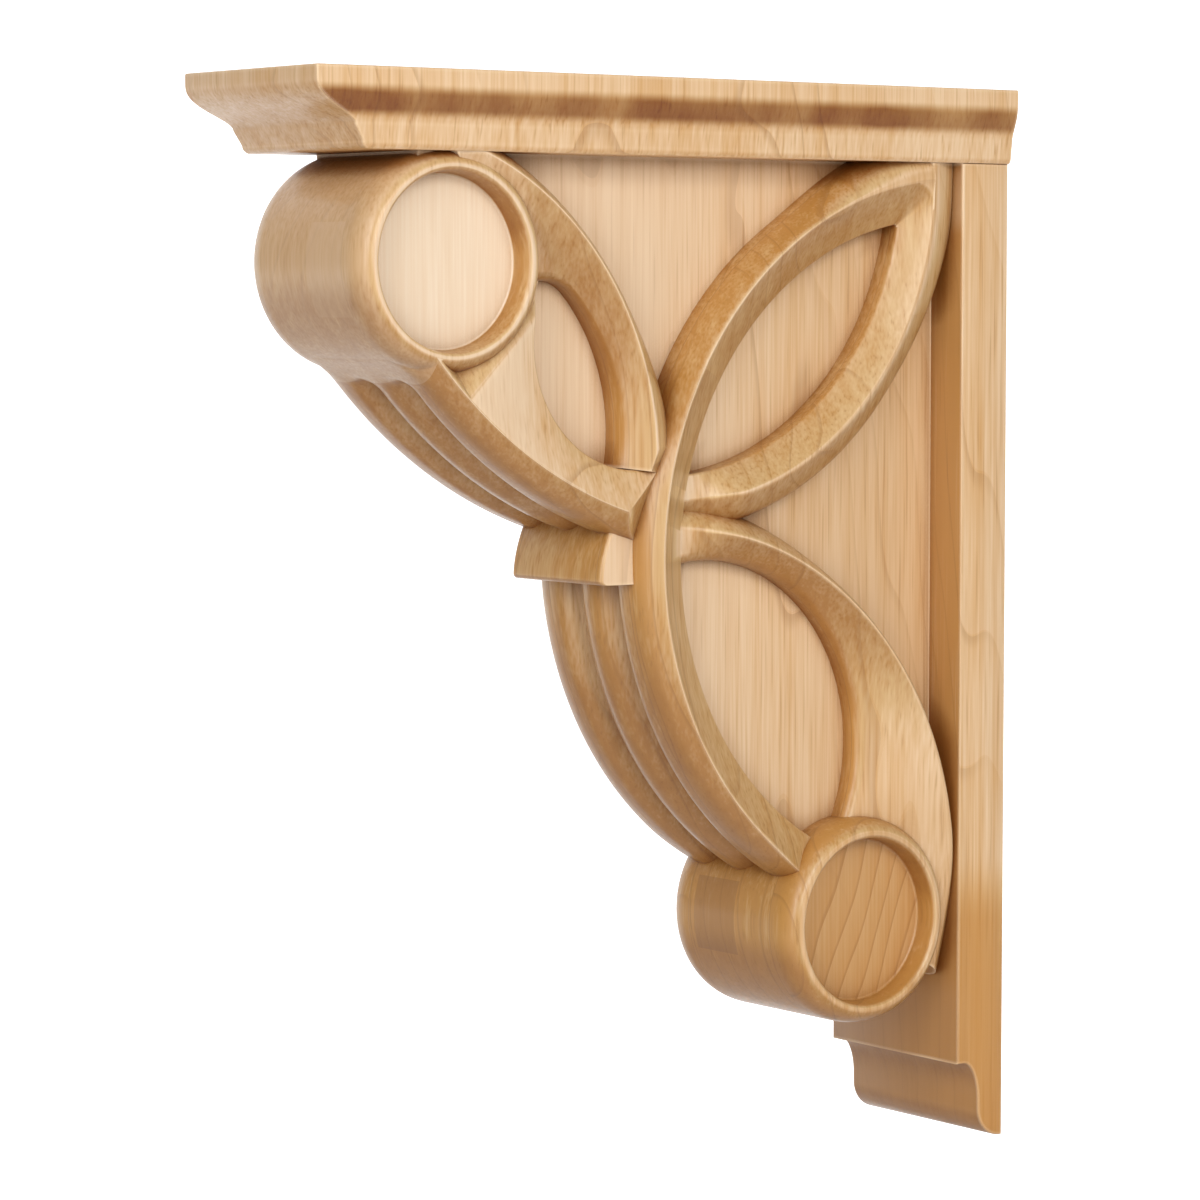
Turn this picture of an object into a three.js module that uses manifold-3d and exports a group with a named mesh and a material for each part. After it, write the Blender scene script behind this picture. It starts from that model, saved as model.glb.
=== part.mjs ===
// Carved wooden corbel bracket: a moulded cap, a flat back plate and a carved body between them.
// Millimetres, +Z up. The wall is the plane Y = 0, the front looks along -Y, and X runs across.
// The origin is the centre of the back face.
import * as THREE from 'three';
import { mergeVertices } from 'three/addons/utils/BufferGeometryUtils.js';
import Module from 'manifold-3d';

// Overall sizes
const HEIGHT = 330;
const TOP = HEIGHT / 2;
const BODY_WIDTH = 61;
const HALF = BODY_WIDTH / 2;

// Cap
const CAP_HEIGHT = 22.8;
const CAP_WIDTH = 69.8;
const CAP_DEPTH = 260.5;
const CAP_FRONT_OVERHANG = 17.2;
const CAP_SIDE_OVERHANG = 3.2;
const CAP_LIP = 2.6;
const CAP_OGEE_END = 15;
const CAP_OGEE_SHARE = 0.87;
const CAP_OGEE_LEAN = 1.2;
const CAP_FOOT_ROUND = 2.2;
const CAP_FOOT_LAND = 0.1;
const CAP_LAYERS = 22;
const SOFFIT = TOP - CAP_HEIGHT;

// Back plate and its tail
const PLATE_THICKNESS = 19;
const TAIL_HEIGHT = 24.4;
const TAIL_LEDGE = 2.8;
const TAIL_COVE_DEPTH = 6;
const TAIL_COVE_HEIGHT = 12.6;
const TAIL_ROUND = 9.4;
const TAIL_STEPS = 8;

// Core of the carved body, whose sides are the sunk panels
const PANEL_HALF = 16;
const ROOT_HALF = 11;
const CORE_INSET = 12;
const CORE_BOTTOM = TOP - 271;
const CORE_ARC_START = 0.15;
const CORE_ARC_END = 0.9;
const CORE_STEPS = 8;

// Scrolls: depth and height of each axis, and the turned section that both share
const UPPER_SCROLL = { y: -210.9, z: TOP - 54.2 };
const LOWER_SCROLL = { y: -55, z: TOP - 257 };
const SCROLL_RADIUS = 32.2;
const SCROLL_FLOOR = 23;
const DISC_RADIUS = 25.3;
const RIM_INNER = 25.9;
const RIM_INNER_DROP = 1.5;
const RIM_CREST = 27.3;
const RIM_ROUND = 9;
const RIM_STEPS = 6;
const SCROLL_SIDES = 40;
const SCROLL_LAP = 0.3;

// Neck that holds the upper scroll to the cap, and the throat below it where the reeds begin
const NECK_FRONT = -222.5;
const NECK_HEIGHT = 3;
const NECK_HALF = 21;
const THROAT_HALF = 25;
const THROAT_ANGLE = 238;
const THROAT_LIP = { y: -216, z: TOP - 88.6 };
const THROAT_ROOT = 12;

// Reeded front: two bellies, each an arc whose radius changes across the front and along it
const UPPER_BELLY = {
  y: -102,
  z: TOP + 8.7,
  crest: { start: 150.6, end: 150.6 },
  edge: { start: 146.8, end: 143.3 },
  from: 214,
  to: 258,
};
const LOWER_BELLY = {
  y: -22,
  z: TOP - 142,
  crest: { start: 121.4, end: 116.8 },
  edge: { start: 114.1, end: 113.8 },
  from: 166,
  to: 243,
};
const GROOVE_PLACE = 9.8;
const GROOVE_DEPTH = 5.4;
const OUTER_REED_CREST = 17;
const OUTER_REED_FULLNESS = 3;
const BELLY_ROOT = 13;
const BELLY_ROOT_HALF = PANEL_HALF - 1;
const BELLY_EDGE = 0.9;
const BELLY_STEPS = 14;
const BELLY_ACROSS = 30;

// Collar between the two bellies
const COLLAR_HALF = 22.4;
const COLLAR_TOP = TOP - 128;
const COLLAR_BOTTOM = TOP - 149.3;
const COLLAR_FRONT_TOP = -147.6;
const COLLAR_FRONT_BOTTOM = -153.7;
const COLLAR_BACK = -120;
const COLLAR_CORNER = 1.5;
const COLLAR_STEPS = 8;

// Ribbons of the leaves. Each has a ridge arc and an edge arc where its recess begins; both are
// given as an axis, a radius and a sweep in degrees from +Y towards +Z. Where a ribbon butts on the
// stem its ridge falls from full height to the height of the stem's edge, at two shares of its sweep.
// Where a ribbon carries the reeds its outer slope is tucked in below them.
const RIDGE_HALF = HALF;
const EDGE_HALF = 22.5;
const FALL_HALF = 23;
const TUCKED_SPREAD = -3;
const RIBBON_STEPS = 22;
const STEM = {
  ridge: { y: -22, z: TOP - 142, radius: 114, from: 94, to: 240 },
  edge: { y: -22, z: TOP - 142, radius: 101.5, from: 94, to: 240 },
  spread: 6.6,
  tuck: { from: 0.48, to: 0.54 },
};
const BACK_ARM_UPPER = {
  ridge: { y: -127.8, z: TOP - 27.6, radius: 97.8, from: 3, to: -88 },
  edge: { y: -127.8, z: TOP - 27.6, radius: 89.8, from: 3, to: -88 },
  spread: 9,
  fall: { full: 0.87, low: 0.985 },
};
const BACK_ARM_LOWER = {
  ridge: { y: -132.5, z: TOP - 244, radius: 111.2, from: 91, to: -12 },
  edge: { y: -113, z: TOP - 202, radius: 58.6, from: 108, to: -32 },
  spread: 8,
  fall: { full: 0.15, low: 0.03 },
};
const BACK_ARM_FRONT = {
  ridge: { y: -236.7, z: TOP - 114.1, radius: 98.3, from: 66, to: -1 },
  edge: { y: -206, z: TOP - 104.2, radius: 59.8, from: 48, to: -10 },
  spread: 14,
};
const FRONT_ARM_EDGE = { y: -142.7, z: TOP - 77.5, radius: 37.7, from: 160, to: 280 };
const FRONT_ARM_EDGE_HALF = 26.5;
const FRONT_ARM_START = 219;
const FRONT_ARM_RISE = 0.16;

// Shoulder that closes the front leaf's recess at the upper scroll
const SHOULDER = {
  front: -195,
  back: -166,
  top: TOP - 46,
  bottom: TOP - 59,
  corner: -161.8,
  arch: TOP - 63.8,
  archEnd: -175,
};
const SHOULDER_STEPS = 6;

// Slanting cut that ends the front leaf above the stem: a point on it and the way it faces
const PARTING_POINT = new THREE.Vector3(30.5, -141.5, TOP - 114.6);
const PARTING_FACING = new THREE.Vector3(0.82, 0.49, -0.3);

// Flat webs that fill the corner between the leaf tip, the cap and the back plate
const TIP_HALF = 29.8;
const TIP_FRONT = -37;
const TIP_BOTTOM = TOP - 47;
const TIP_SLANT = 16;
const TIP_LAP = 0.3;

const CLEAR = 60;
const MERGE_DISTANCE = 1e-4;
const WOOD_TAN = 0xd9b184;
const WOOD_HONEY = 0xd3a878;
const WOOD_ROUGHNESS = 0.42;

const wasm = await Module();
wasm.setup();

const radians = THREE.MathUtils.degToRad;
const mix = THREE.MathUtils.lerp;

function pointOnArc(arc, along) {
  const angle = radians(mix(arc.from, arc.to, along));
  return { y: arc.y + arc.radius * Math.cos(angle), z: arc.z + arc.radius * Math.sin(angle) };
}

// A box cut into steps along its length and across it, with every corner moved by place().
function bentBar(steps, across, place) {
  const geometry = new THREE.BoxGeometry(1, 1, 1, steps, across, 1);
  const position = geometry.attributes.position;
  for (let i = 0; i < position.count; i += 1) {
    const spot = place(position.getX(i) + 0.5, position.getY(i) + 0.5, position.getZ(i) + 0.5);
    position.setXYZ(i, spot.x, spot.y, spot.z);
  }
  return geometry;
}

// An outline in the side plane, given as depth and height, drawn out across the width.
function sideExtrusion(shape, half) {
  const options = { depth: 2 * half, bevelEnabled: false, curveSegments: 1 };
  const geometry = new THREE.ExtrudeGeometry(shape, options);
  geometry.translate(0, 0, -half);
  const turn = new THREE.Matrix4().makeBasis(
    new THREE.Vector3(0, 1, 0),
    new THREE.Vector3(0, 0, 1),
    new THREE.Vector3(1, 0, 0),
  );
  return geometry.applyMatrix4(turn);
}

function block(x0, x1, y0, y1, z0, z1) {
  const geometry = new THREE.BoxGeometry(x1 - x0, y1 - y0, z1 - z0);
  return geometry.translate((x0 + x1) / 2, (y0 + y1) / 2, (z0 + z1) / 2);
}

function mirrored(geometry) {
  return geometry.clone().scale(-1, 1, 1);
}

function signedVolume(position, index) {
  const a = new THREE.Vector3();
  const b = new THREE.Vector3();
  const c = new THREE.Vector3();
  let sum = 0;
  for (let i = 0; i < index.length; i += 3) {
    a.fromBufferAttribute(position, index[i]);
    b.fromBufferAttribute(position, index[i + 1]);
    c.fromBufferAttribute(position, index[i + 2]);
    sum += a.dot(b.cross(c));
  }
  return sum / 6;
}

// A closed geometry as a solid, with its faces turned outwards.
function solid(geometry) {
  const bare = geometry.clone();
  bare.deleteAttribute('normal');
  bare.deleteAttribute('uv');
  const merged = mergeVertices(bare, MERGE_DISTANCE);
  const triangles = Uint32Array.from(merged.index.array);
  if (signedVolume(merged.attributes.position, triangles) < 0) {
    for (let i = 0; i < triangles.length; i += 3) {
      [triangles[i], triangles[i + 1]] = [triangles[i + 1], triangles[i]];
    }
  }
  const vertices = Float32Array.from(merged.attributes.position.array);
  return new wasm.Manifold(new wasm.Mesh({ numProp: 3, vertProperties: vertices, triVerts: triangles }));
}

function geometryOf(body) {
  const mesh = body.getMesh();
  const geometry = new THREE.BufferGeometry();
  geometry.setAttribute('position', new THREE.BufferAttribute(mesh.vertProperties, 3));
  geometry.setIndex(new THREE.BufferAttribute(mesh.triVerts, 1));
  geometry.computeVertexNormals();
  return geometry;
}

function joined(geometries) {
  return geometries.map(solid).reduce((whole, piece) => whole.add(piece));
}

function bothSides(geometries) {
  return geometries.flatMap((geometry) => [geometry, mirrored(geometry)]);
}

// How far the cap stands out beyond its fascia at a depth below its top, as a share of the overhang.
function capOverhang(depth) {
  if (depth < CAP_LIP) {
    return 1;
  }
  if (depth < CAP_OGEE_END) {
    const share = (depth - CAP_LIP) / (CAP_OGEE_END - CAP_LIP);
    return 1 - CAP_OGEE_SHARE * THREE.MathUtils.smoothstep(share ** CAP_OGEE_LEAN, 0, 1);
  }
  const fasciaEnd = CAP_HEIGHT - CAP_FOOT_ROUND;
  return (1 - CAP_OGEE_SHARE) * Math.max(0, (fasciaEnd - depth) / (fasciaEnd - CAP_OGEE_END));
}

function capFootInset(depth) {
  const into = THREE.MathUtils.clamp(depth - CAP_HEIGHT + CAP_FOOT_ROUND, 0, CAP_FOOT_ROUND - CAP_FOOT_LAND);
  return CAP_FOOT_ROUND - Math.sqrt(CAP_FOOT_ROUND ** 2 - into ** 2);
}

function makeCap() {
  const geometry = new THREE.BoxGeometry(1, 1, 1, 1, 1, CAP_LAYERS);
  const position = geometry.attributes.position;
  for (let i = 0; i < position.count; i += 1) {
    const depth = (0.5 - position.getZ(i)) * CAP_HEIGHT;
    const overhang = capOverhang(depth) - 1;
    const inset = capFootInset(depth);
    const half = CAP_WIDTH / 2 + overhang * CAP_SIDE_OVERHANG - inset / 2;
    const front = CAP_DEPTH + overhang * CAP_FRONT_OVERHANG - inset;
    const isFront = position.getY(i) < 0;
    position.setXYZ(i, 2 * position.getX(i) * half, isFront ? -front : 0, TOP - depth);
  }
  return geometryOf(solid(geometry));
}

function makeBackPlate() {
  const bottom = -TOP;
  const ledge = bottom + TAIL_HEIGHT;
  const coveFront = -PLATE_THICKNESS + TAIL_LEDGE;
  const coveBack = coveFront + TAIL_COVE_DEPTH;
  const coveFoot = ledge - TAIL_COVE_HEIGHT;
  const shape = new THREE.Shape();
  shape.moveTo(0, SOFFIT);
  shape.lineTo(-PLATE_THICKNESS, SOFFIT);
  shape.lineTo(-PLATE_THICKNESS, ledge);
  for (let i = 0; i <= TAIL_STEPS; i += 1) {
    const angle = (Math.PI / 2) * (i / TAIL_STEPS);
    const height = coveFoot + TAIL_COVE_HEIGHT * Math.cos(angle);
    shape.lineTo(coveFront + TAIL_COVE_DEPTH * Math.sin(angle), height);
  }
  for (let i = 0; i <= TAIL_STEPS; i += 1) {
    const angle = (Math.PI / 2) * (i / TAIL_STEPS);
    const height = bottom + TAIL_ROUND * (1 - Math.sin(angle));
    shape.lineTo(coveBack + TAIL_ROUND * (1 - Math.cos(angle)), height);
  }
  shape.lineTo(0, bottom);
  return geometryOf(solid(sideExtrusion(shape, HALF)));
}

// The core lies behind all the carving; it only shows as the sunk panels.
function makeCore() {
  const upper = { ...UPPER_BELLY, radius: UPPER_BELLY.crest.start - CORE_INSET };
  const lower = { ...LOWER_BELLY, radius: LOWER_BELLY.crest.end - CORE_INSET };
  const shape = new THREE.Shape();
  shape.moveTo(-PLATE_THICKNESS, SOFFIT);
  shape.lineTo(UPPER_SCROLL.y, SOFFIT);
  shape.lineTo(UPPER_SCROLL.y, UPPER_SCROLL.z);
  for (const belly of [upper, lower]) {
    for (let i = 0; i <= CORE_STEPS; i += 1) {
      const spot = pointOnArc(belly, mix(CORE_ARC_START, CORE_ARC_END, i / CORE_STEPS));
      shape.lineTo(spot.y, spot.z);
    }
  }
  shape.lineTo(LOWER_SCROLL.y, LOWER_SCROLL.z);
  shape.lineTo(-PLATE_THICKNESS, CORE_BOTTOM);
  return sideExtrusion(shape, PANEL_HALF);
}

function turned(profile, axis) {
  const geometry = new THREE.LatheGeometry(profile, SCROLL_SIDES);
  geometry.rotateZ(-Math.PI / 2);
  return geometry.translate(0, axis.y, axis.z);
}

// The long round on an end of a scroll, from its crest to its full radius less a lap.
function rimRound(lap) {
  const round = [];
  for (let i = 0; i <= RIM_STEPS; i += 1) {
    const angle = (Math.PI / 2) * (i / RIM_STEPS);
    const radius = mix(RIM_CREST, SCROLL_RADIUS, Math.sin(angle)) - lap;
    round.push(new THREE.Vector2(radius, HALF - RIM_ROUND * (1 - Math.cos(angle))));
  }
  return round;
}

function bothEnds(nearEnd) {
  const farEnd = nearEnd.map((point) => new THREE.Vector2(point.x, -point.y));
  return [...farEnd, ...nearEnd.reverse()];
}

// A scroll is turned: a long round on each end, a narrow crest and a sunk flat disc inside it.
function makeScroll(axis) {
  const nearEnd = [
    new THREE.Vector2(0, SCROLL_FLOOR),
    new THREE.Vector2(DISC_RADIUS, SCROLL_FLOOR),
    new THREE.Vector2(RIM_INNER, HALF - RIM_INNER_DROP),
    ...rimRound(0),
  ];
  return turned(bothEnds(nearEnd), axis);
}

// The place of a scroll, which is cleared of the ribbons that run up to it.
function makeScrollSeat(axis) {
  const reach = HALF + CLEAR;
  const nearEnd = [
    new THREE.Vector2(0, reach),
    new THREE.Vector2(RIM_CREST - SCROLL_LAP, reach),
    ...rimRound(SCROLL_LAP),
  ];
  return turned(bothEnds(nearEnd), axis);
}

function makeThroat() {
  const radius = SCROLL_RADIUS - SCROLL_LAP;
  const start = pointOnArc({ ...UPPER_SCROLL, radius, from: THROAT_ANGLE, to: THROAT_ANGLE }, 0);
  const shape = new THREE.Shape();
  shape.moveTo(start.y, start.z);
  shape.lineTo(THROAT_LIP.y, THROAT_LIP.z);
  shape.lineTo(THROAT_LIP.y + THROAT_ROOT, THROAT_LIP.z + THROAT_ROOT);
  shape.lineTo(start.y + THROAT_ROOT, start.z + THROAT_ROOT);
  return sideExtrusion(shape, THROAT_HALF);
}

// Radius of a reeded front at a place across it: a middle reed, two grooves and two wider outer reeds.
function reedRadius(crest, edge, x) {
  const place = Math.abs(x);
  const groove = crest - GROOVE_DEPTH;
  if (place < GROOVE_PLACE) {
    return mix(crest, groove, (place / GROOVE_PLACE) ** 2);
  }
  if (place < OUTER_REED_CREST) {
    const share = (OUTER_REED_CREST - place) / (OUTER_REED_CREST - GROOVE_PLACE);
    return mix(crest, groove, share ** 2);
  }
  const share = (place - OUTER_REED_CREST) / (HALF - BELLY_EDGE - OUTER_REED_CREST);
  return mix(crest, edge, share ** OUTER_REED_FULLNESS);
}

function makeBelly(belly) {
  return bentBar(BELLY_STEPS, BELLY_ACROSS, (along, over, out) => {
    const angle = radians(mix(belly.from, belly.to, along));
    const crest = mix(belly.crest.start, belly.crest.end, along);
    const edge = mix(belly.edge.start, belly.edge.end, along);
    const outerX = mix(BELLY_EDGE - HALF, HALF - BELLY_EDGE, over);
    const innerX = mix(-BELLY_ROOT_HALF, BELLY_ROOT_HALF, over);
    const radius = mix(edge - BELLY_ROOT, reedRadius(crest, edge, outerX), out);
    return {
      x: mix(innerX, outerX, out),
      y: belly.y + radius * Math.cos(angle),
      z: belly.z + radius * Math.sin(angle),
    };
  });
}

// A ribbon: a steep slope outside its ridge, a broad slope down to its edge and a wall at the recess.
function makeRibbon({ ridgeAt, edgeAt, heightAt, spreadAt, edgeHalf }) {
  return bentBar(RIBBON_STEPS, 1, (along, over, out) => {
    const ridge = ridgeAt(along);
    const edge = edgeAt(along);
    const atTop = out > 0.5;
    if (over > 0.5) {
      return { x: atTop ? edgeHalf : ROOT_HALF, y: edge.y, z: edge.z };
    }
    const reach = atTop ? 0 : spreadAt(along) * (RIDGE_HALF - ROOT_HALF) / (RIDGE_HALF - PANEL_HALF);
    const breadth = Math.hypot(ridge.y - edge.y, ridge.z - edge.z);
    return {
      x: atTop ? heightAt(along) : ROOT_HALF,
      y: ridge.y + reach * (ridge.y - edge.y) / breadth,
      z: ridge.z + reach * (ridge.z - edge.z) / breadth,
    };
  });
}

function makeArm({ ridge, edge, spread, fall, tuck }) {
  return makeRibbon({
    ridgeAt: (along) => pointOnArc(ridge, along),
    edgeAt: (along) => pointOnArc(edge, along),
    heightAt: (along) => {
      const share = fall ? (along - fall.low) / (fall.full - fall.low) : 1;
      return mix(FALL_HALF, RIDGE_HALF, THREE.MathUtils.smoothstep(share, 0, 1));
    },
    spreadAt: (along) => {
      const share = tuck ? THREE.MathUtils.smoothstep(along, tuck.from, tuck.to) : 0;
      return mix(spread, TUCKED_SPREAD, share);
    },
    edgeHalf: EDGE_HALF,
  });
}

// The front ribbon of the front leaf shares its ridge with the edge of the upper belly, and rises from
// the scroll.
function makeFrontArm() {
  const start = (FRONT_ARM_START - UPPER_BELLY.from) / (UPPER_BELLY.to - UPPER_BELLY.from);
  return makeRibbon({
    ridgeAt: (along) => {
      const share = mix(start, 1, along);
      const radius = mix(UPPER_BELLY.edge.start, UPPER_BELLY.edge.end, share);
      return pointOnArc({ ...UPPER_BELLY, radius }, share);
    },
    edgeAt: (along) => pointOnArc(FRONT_ARM_EDGE, along),
    heightAt: (along) => {
      const share = THREE.MathUtils.smoothstep(along, 0, FRONT_ARM_RISE);
      return mix(FRONT_ARM_EDGE_HALF, RIDGE_HALF, share);
    },
    spreadAt: () => TUCKED_SPREAD,
    edgeHalf: FRONT_ARM_EDGE_HALF,
  });
}

// The shoulder's underside turns down in an arch where it meets the leaf's back ribbon.
function makeShoulder() {
  const shape = new THREE.Shape();
  shape.moveTo(SHOULDER.front, SHOULDER.top);
  shape.lineTo(SHOULDER.back, SHOULDER.top);
  shape.lineTo(SHOULDER.corner, SHOULDER.arch);
  for (let i = 1; i <= SHOULDER_STEPS; i += 1) {
    const share = i / SHOULDER_STEPS;
    const depth = mix(SHOULDER.corner, SHOULDER.archEnd, share);
    shape.lineTo(depth, mix(SHOULDER.bottom, SHOULDER.arch, (1 - share) ** 2));
  }
  shape.lineTo(SHOULDER.front, SHOULDER.bottom);
  const thickness = (EDGE_HALF - ROOT_HALF) / 2;
  return sideExtrusion(shape, thickness).translate(ROOT_HALF + thickness, 0, 0);
}

// The wood that the slanting cut takes away: a block whose lower face lies in the cut.
function makeParting() {
  const geometry = new THREE.BoxGeometry(CLEAR, CLEAR, CLEAR).translate(0, 0, CLEAR / 2);
  const up = new THREE.Vector3(0, 0, 1);
  geometry.applyQuaternion(new THREE.Quaternion().setFromUnitVectors(up, PARTING_FACING.clone().normalize()));
  return geometry.translate(...PARTING_POINT.toArray());
}

// The webs at the leaf tip follow the two ridges that meet there.
function makeTip() {
  const stem = { ...STEM.ridge, radius: STEM.ridge.radius - TIP_LAP };
  const arm = { ...BACK_ARM_UPPER.ridge, radius: BACK_ARM_UPPER.ridge.radius - TIP_LAP };
  const stemHeight = (y) => stem.z + Math.sqrt(stem.radius ** 2 - (y - stem.y) ** 2);
  const armDepth = (z) => arm.y + Math.sqrt(arm.radius ** 2 - (z - arm.z) ** 2);
  const meeting = { y: armDepth(arm.z), z: stemHeight(armDepth(arm.z)) };
  const shape = new THREE.Shape();
  shape.moveTo(-PLATE_THICKNESS, SOFFIT);
  shape.lineTo(TIP_FRONT, SOFFIT);
  shape.lineTo(TIP_FRONT, stemHeight(TIP_FRONT));
  shape.lineTo((TIP_FRONT + meeting.y) / 2, stemHeight((TIP_FRONT + meeting.y) / 2));
  shape.lineTo(meeting.y, meeting.z);
  shape.lineTo(armDepth(TIP_BOTTOM), TIP_BOTTOM);
  shape.lineTo(armDepth(TIP_BOTTOM - TIP_SLANT), TIP_BOTTOM - TIP_SLANT);
  shape.lineTo(-PLATE_THICKNESS, TIP_BOTTOM);
  return sideExtrusion(shape, TIP_HALF);
}

function makeCollar() {
  return bentBar(COLLAR_STEPS, COLLAR_STEPS, (along, over, out) => {
    const x = mix(-COLLAR_HALF, COLLAR_HALF, over);
    const fromEnd = Math.max(0, Math.abs(x) - COLLAR_HALF + COLLAR_CORNER);
    const round = COLLAR_CORNER - Math.sqrt(COLLAR_CORNER ** 2 - fromEnd ** 2);
    const flare = mix(COLLAR_FRONT_TOP, COLLAR_FRONT_BOTTOM, Math.sin(along * Math.PI / 2));
    return {
      x,
      y: mix(COLLAR_BACK, flare + round, out),
      z: mix(COLLAR_TOP, COLLAR_BOTTOM, along),
    };
  });
}

function makeCarvedBody() {
  const frontLeaf = joined(bothSides([makeArm(BACK_ARM_FRONT), makeFrontArm(), makeShoulder()]))
    .add(solid(makeBelly(UPPER_BELLY)))
    .subtract(joined(bothSides([makeParting()])));
  const leaves = joined(bothSides([makeArm(STEM), makeArm(BACK_ARM_UPPER), makeArm(BACK_ARM_LOWER)]));
  const neck = block(-NECK_HALF, NECK_HALF, NECK_FRONT, UPPER_SCROLL.y, SOFFIT - NECK_HEIGHT, SOFFIT);
  const rest = joined([makeCore(), makeBelly(LOWER_BELLY), makeCollar(), makeThroat(), makeTip(), neck]);
  const seats = joined([makeScrollSeat(UPPER_SCROLL), makeScrollSeat(LOWER_SCROLL)]);
  const scrolls = joined([makeScroll(UPPER_SCROLL), makeScroll(LOWER_SCROLL)]);
  const aboveSoffit = solid(block(-CLEAR, CLEAR, -CAP_DEPTH - CLEAR, CLEAR, SOFFIT, TOP + CLEAR));
  const behindPlate = solid(block(-CLEAR, CLEAR, -PLATE_THICKNESS, CLEAR, -TOP - CLEAR, TOP + CLEAR));
  const whole = rest.add(leaves).add(frontLeaf).subtract(seats).add(scrolls);
  return geometryOf(whole.subtract(aboveSoffit).subtract(behindPlate));
}

function piece(name, geometry, color) {
  const material = new THREE.MeshStandardMaterial({ color, roughness: WOOD_ROUGHNESS, metalness: 0 });
  const mesh = new THREE.Mesh(geometry, material);
  mesh.name = name;
  return mesh;
}

const corbel = new THREE.Group();
corbel.add(piece('cap', makeCap(), WOOD_TAN));
corbel.add(piece('back_plate', makeBackPlate(), WOOD_TAN));
corbel.add(piece('carved_body', makeCarvedBody(), WOOD_HONEY));

export default corbel;
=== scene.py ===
"""Looks of a carved wooden corbel bracket: moulded cap, back plate, carved body, and the stage."""

import math
from dataclasses import dataclass

import bmesh
import bpy
from mathutils import Matrix, Vector


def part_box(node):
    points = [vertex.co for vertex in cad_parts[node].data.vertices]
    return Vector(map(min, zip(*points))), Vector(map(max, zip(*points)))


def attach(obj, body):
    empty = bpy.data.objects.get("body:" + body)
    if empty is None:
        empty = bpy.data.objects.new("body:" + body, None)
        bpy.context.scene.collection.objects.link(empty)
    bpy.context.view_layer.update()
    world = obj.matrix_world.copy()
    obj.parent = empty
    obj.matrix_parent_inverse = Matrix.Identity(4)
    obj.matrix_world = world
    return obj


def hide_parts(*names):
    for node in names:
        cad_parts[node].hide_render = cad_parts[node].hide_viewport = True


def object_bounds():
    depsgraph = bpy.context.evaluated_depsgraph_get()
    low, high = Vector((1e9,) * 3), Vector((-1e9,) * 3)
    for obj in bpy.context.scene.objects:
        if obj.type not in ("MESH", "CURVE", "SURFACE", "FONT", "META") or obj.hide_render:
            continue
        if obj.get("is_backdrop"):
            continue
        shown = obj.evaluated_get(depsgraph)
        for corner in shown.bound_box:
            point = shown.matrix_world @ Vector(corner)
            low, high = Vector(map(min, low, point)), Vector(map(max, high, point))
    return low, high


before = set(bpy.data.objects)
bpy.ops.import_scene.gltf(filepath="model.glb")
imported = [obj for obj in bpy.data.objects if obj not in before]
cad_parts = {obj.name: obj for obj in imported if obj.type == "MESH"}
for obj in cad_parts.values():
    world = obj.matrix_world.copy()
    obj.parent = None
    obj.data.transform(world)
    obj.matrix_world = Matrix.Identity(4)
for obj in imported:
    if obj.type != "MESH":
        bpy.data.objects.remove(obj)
CAD_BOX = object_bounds()

bl_info = {
    "name": "Carved corbel bracket",
    "version": (1, 0, 0),
    "blender": (4, 5, 0),
    "location": "View3D > Sidebar > Corbel",
    "description": "Models the cap, back plate and carved body of a wooden corbel, and its stage",
    "category": "Add Mesh",
}

MM = 0.001
MERGE = 0.001 * MM

# Places that the frame gives
CAP_LOW, CAP_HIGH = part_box("cap")
PLATE_LOW, PLATE_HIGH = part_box("back_plate")
TOP = CAP_HIGH.z
SOFFIT = CAP_LOW.z
BOTTOM = PLATE_LOW.z
HALF = PLATE_HIGH.x
PLATE_FRONT = PLATE_LOW.y

# Cap moulding
CAP_OGEE_SHARE = 0.845
CAP_OGEE_LEAN = 1.5
CAP_FOOT_ROUND = 2.2 * MM
CAP_FOOT_LAND = 0.1 * MM
CAP_LAYERS = 64
CAP_EDGE_STEPS = 4
CORNER_STEPS = 4

# Tail of the back plate
TAIL_LEDGE = 2.8 * MM
TAIL_COVE_DEPTH = 6 * MM
TAIL_COVE_HEIGHT = 12.6 * MM
TAIL_ROUND = 9.4 * MM
TAIL_STEPS = 20

# Core of the carved body
PANEL_HALF = 16 * MM
ROOT_HALF = 11 * MM
CORE_INSET = 12 * MM
CORE_BOTTOM = TOP - 271 * MM
CORE_ARC_START = 0.15
CORE_ARC_END = 0.9
CORE_STEPS = 24

# Scrolls
UPPER_SCROLL = Vector((0, -210.9 * MM, TOP - 54.2 * MM))
LOWER_SCROLL = Vector((0, -55 * MM, TOP - 257 * MM))
DISC_RADIUS = 25.3 * MM
RIM_INNER = 25.9 * MM
RIM_INNER_DROP = 1.5 * MM
RIM_CREST = 27.3 * MM
RIM_ROUND = 9 * MM
RIM_STEPS = 14
DISC_FILLET = 0.8 * MM
SCROLL_SIDES = 160
SEAT_LAP = 0.3 * MM

# Neck that holds the upper scroll to the cap
NECK_FRONT = -221 * MM
NECK_HEIGHT = 2.2 * MM
NECK_HALF = 26 * MM

# Reeded front
GROOVE_PLACE = 9.8 * MM
OUTER_REED_CREST = 17 * MM
OUTER_REED_FULLNESS = 3
BELLY_ROOT = 13 * MM
BELLY_ROOT_HALF = PANEL_HALF - MM
BELLY_EDGE = 0.08 * MM
BELLY_LIP = ((0.05 * MM, 0.35 * MM), (0.3 * MM, 0.9 * MM))
BELLY_STEPS = 64
BELLY_ACROSS = 76
THROAT_END = 221.5
THROAT_SWEEP = 5.9
THROAT_RISE = 4.4 * MM
THROAT_CURVE = 1.6
THROAT_FADE = (21 * MM, 29 * MM)
GROOVE_BIRTH = (219.4, 222.2)
BELLY_BIRTH = (150, 174)
BELLY_BIRTH_DROP = 4.8 * MM

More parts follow.
